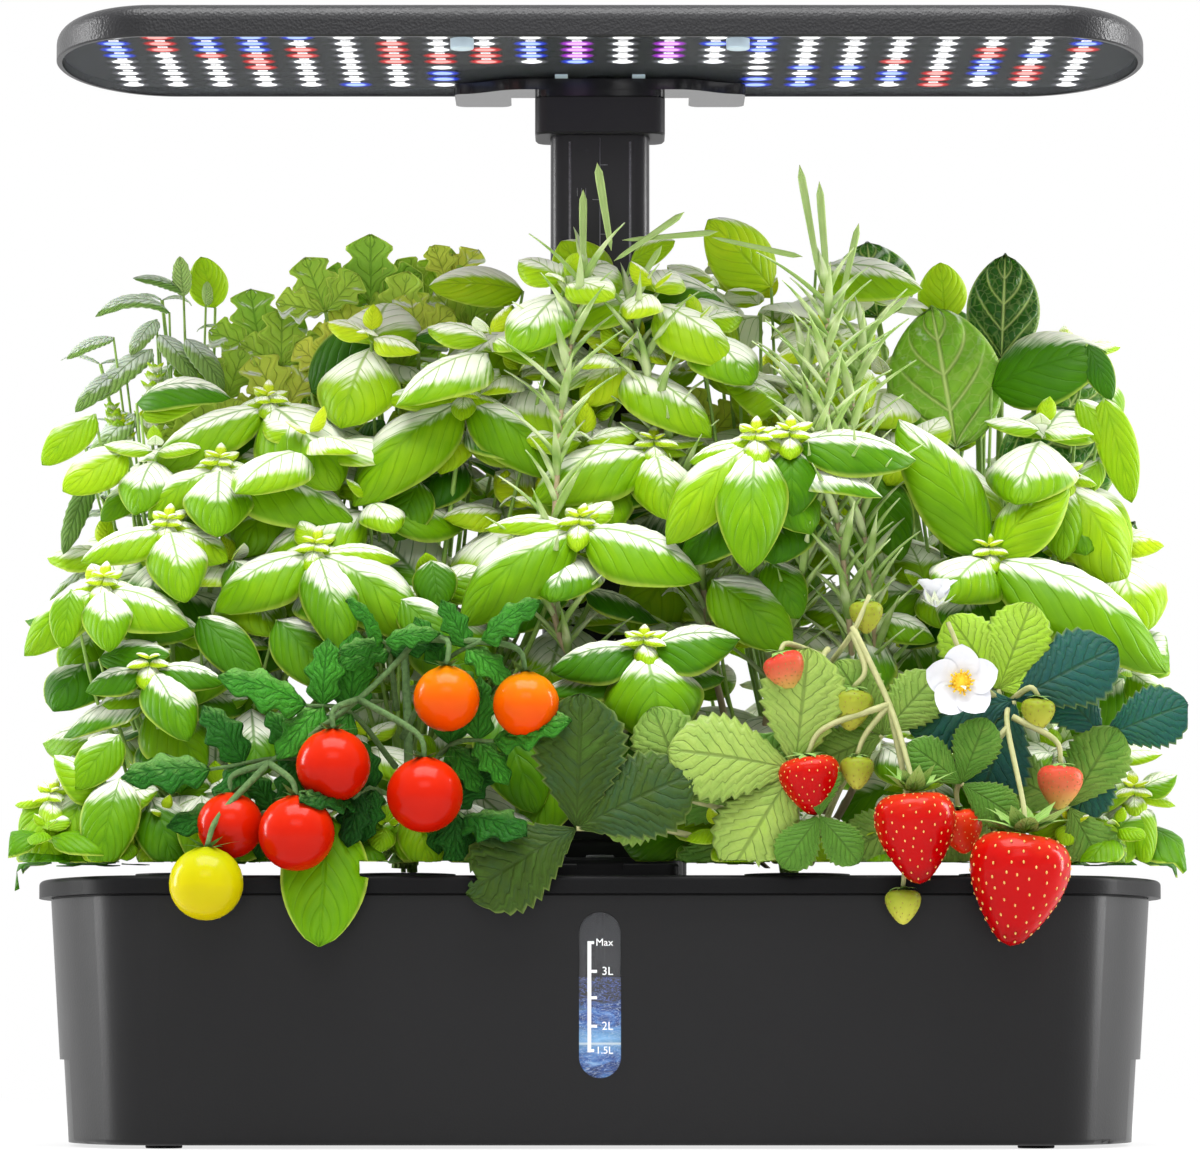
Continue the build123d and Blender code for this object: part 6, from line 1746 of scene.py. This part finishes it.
def foliageParts(pod):
    foot = (*pods[pod], garden["spongeTop"] - 6)
    parts = plantsOf(pod)
    if pod == 10:
        for index, (place, size, turn, tone) in enumerate(parsleyFans):
            parts += parsleyFan(foot, place, size, turn, tone, 300 + index)
    if pod == 9:
        for index, (tip, pairs, size, tone) in enumerate(mintShoots):
            parts += mintShoot(foot, tip, pairs, size, tone, 400 + index)
        for base, tip, width, arch, tone in mintLeaves:
            parts.append(leafBetween(base, tip, width, arch, outline="ovate", cup=0.35, tone=tone, teeth=9,
                                     toothDepth=0.14, rows=18, columns=8, material="mintLeaf"))
            parts.append(stemTo(9, np.array(base) + (0, 0, 2.5), 0.9, int(tip[2])))
        for index, (low, tip) in enumerate(mintSpikes):
            parts += mintSpike(low, tip, 450 + index)
            parts.append(stemTo(9, np.array(low) + (0, 0, 3), 1.2, 460 + index))
    if pod == 12:
        for index, (place, length, width, lean, tone) in enumerate(spinachLeaves):
            share = 1 if place[1] > 30 else 0.4
            parts += spinachLeaf(12, place, length, width, lean, tone, share, 500 + index)
    if pod in berryLeaves:
        for hub, size, angles, tone in berryLeaves[pod]:
            parts += trefoil(hub, size, angles, tone, foot)
    if pod == 2:
        for index, (start, tip, size, tone) in enumerate(tomatoLeaves):
            parts += tomatoLeaf(start, tip, size * 1.2, tone, 600 + index)
        parts.append(tube([foot, (-66, -50, 130), (-68, -46, 178)], 2.0, 1.4, material="hairyStalk"))
        parts.append(blade((-92, -84, 112), (-0.05, -0.35, -1), 46, 30, "ovate", 6, cup=0.25, tone=0.42,
                           up=(0, -1, 0.2), rows=16, columns=10))
        parts.append(tube([foot, (-80, -66, 118), (-92, -84, 112)], 1.2, 0.8))
    if pod == 7:
        parts += rosemaryParts()
    for number, patch in enumerate(fillers.get(pod, ())):
        parts += filler(pod, pod * 3 + number, *patch)
    return parts


def makePlants():
    total = 0
    for pod, node in plantOf.items():
        sponge = makeSponge(pod)
        greens = joinParts(node.replace("_", "-") + "-leaves", foliageParts(pod), keepClear,
                           garden["leafThickness"])
        total += len(greens.data.polygons)
        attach(greens, f"pod_{pod:02d}")
        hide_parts(node)
        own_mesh(greens)
    print("foliage made", total, "faces")


makePlants()


# Stage, lights and camera


def makeStage():
    bpy.ops.mesh.primitive_plane_add(size=studio["floorSize"])
    floor = bpy.context.object
    floor.name = "floor"
    material, tree, shader = newMaterial("floorWhite", (0.92, 0.92, 0.92, 1), 0.7)
    ray = addNode(tree, "ShaderNodeLightPath")
    camera = maths(tree, "MAXIMUM", ray.outputs["Is Camera Ray"], ray.outputs["Is Glossy Ray"])
    camera = maths(tree, "MAXIMUM", camera, ray.outputs["Is Transmission Ray"])
    glow = addNode(tree, "ShaderNodeEmission", {"Color": (1, 1, 1, 1), "Strength": 1.0})
    place = addNode(tree, "ShaderNodeTexCoord").outputs["Object"]
    away = addNode(tree, "ShaderNodeVectorMath", {0: place}, operation="LENGTH").outputs["Value"]
    paler = remap(tree, away, 0.3, 1.6, studio["floorShare"], 1.0)
    share = maths(tree, "MULTIPLY", camera, paler)
    mixed = addNode(tree, "ShaderNodeMixShader", {0: share, 1: shader.outputs[0], 2: glow.outputs[0]})
    tree.links.new(mixed.outputs[0], tree.nodes["Material Output"].inputs["Surface"])
    floor.data.materials.append(material)


def makeWorld():
    world = bpy.data.worlds.new("studio")
    bpy.context.scene.world = world
    world.use_nodes = True
    tree = world.node_tree
    background = tree.nodes["Background"]
    background.inputs["Color"].default_value = (1, 1, 1, 1)
    ray = addNode(tree, "ShaderNodeLightPath")
    seen = maths(tree, "MAXIMUM", ray.outputs["Is Camera Ray"], ray.outputs["Is Glossy Ray"])
    seen = maths(tree, "MAXIMUM", seen, ray.outputs["Is Transmission Ray"])
    tree.links.new(maths(tree, "MAXIMUM", seen, studio["diffuseLevel"]), background.inputs["Strength"])


def makeLights():
    for name, place, size, watts, target in studio["lights"]:
        light = bpy.data.lights.new(name, "AREA")
        light.shape = "RECTANGLE"
        light.size, light.size_y = size
        light.energy = watts
        holder = bpy.data.objects.new(name, light)
        holder.location = place
        holder.rotation_euler = (Vector(target) - Vector(place)).to_track_quat("-Z", "Y").to_euler()
        bpy.context.scene.collection.objects.link(holder)


def makeCamera():
    camera = bpy.data.cameras.new("camera")
    camera.lens = studio["focalLength"]
    camera.sensor_width = studio["sensorWidth"]
    camera.clip_end = 50
    holder = bpy.data.objects.new("camera", camera)
    holder.location = studio["cameraPlace"]
    holder.rotation_euler = (math.radians(90 + studio["cameraPitch"]), 0, 0)
    bpy.context.scene.collection.objects.link(holder)
    bpy.context.scene.camera = holder


makeStage()
makeWorld()
makeLights()
makeCamera()
bpy.context.scene.view_settings.view_transform = "Standard"
print("studio made")
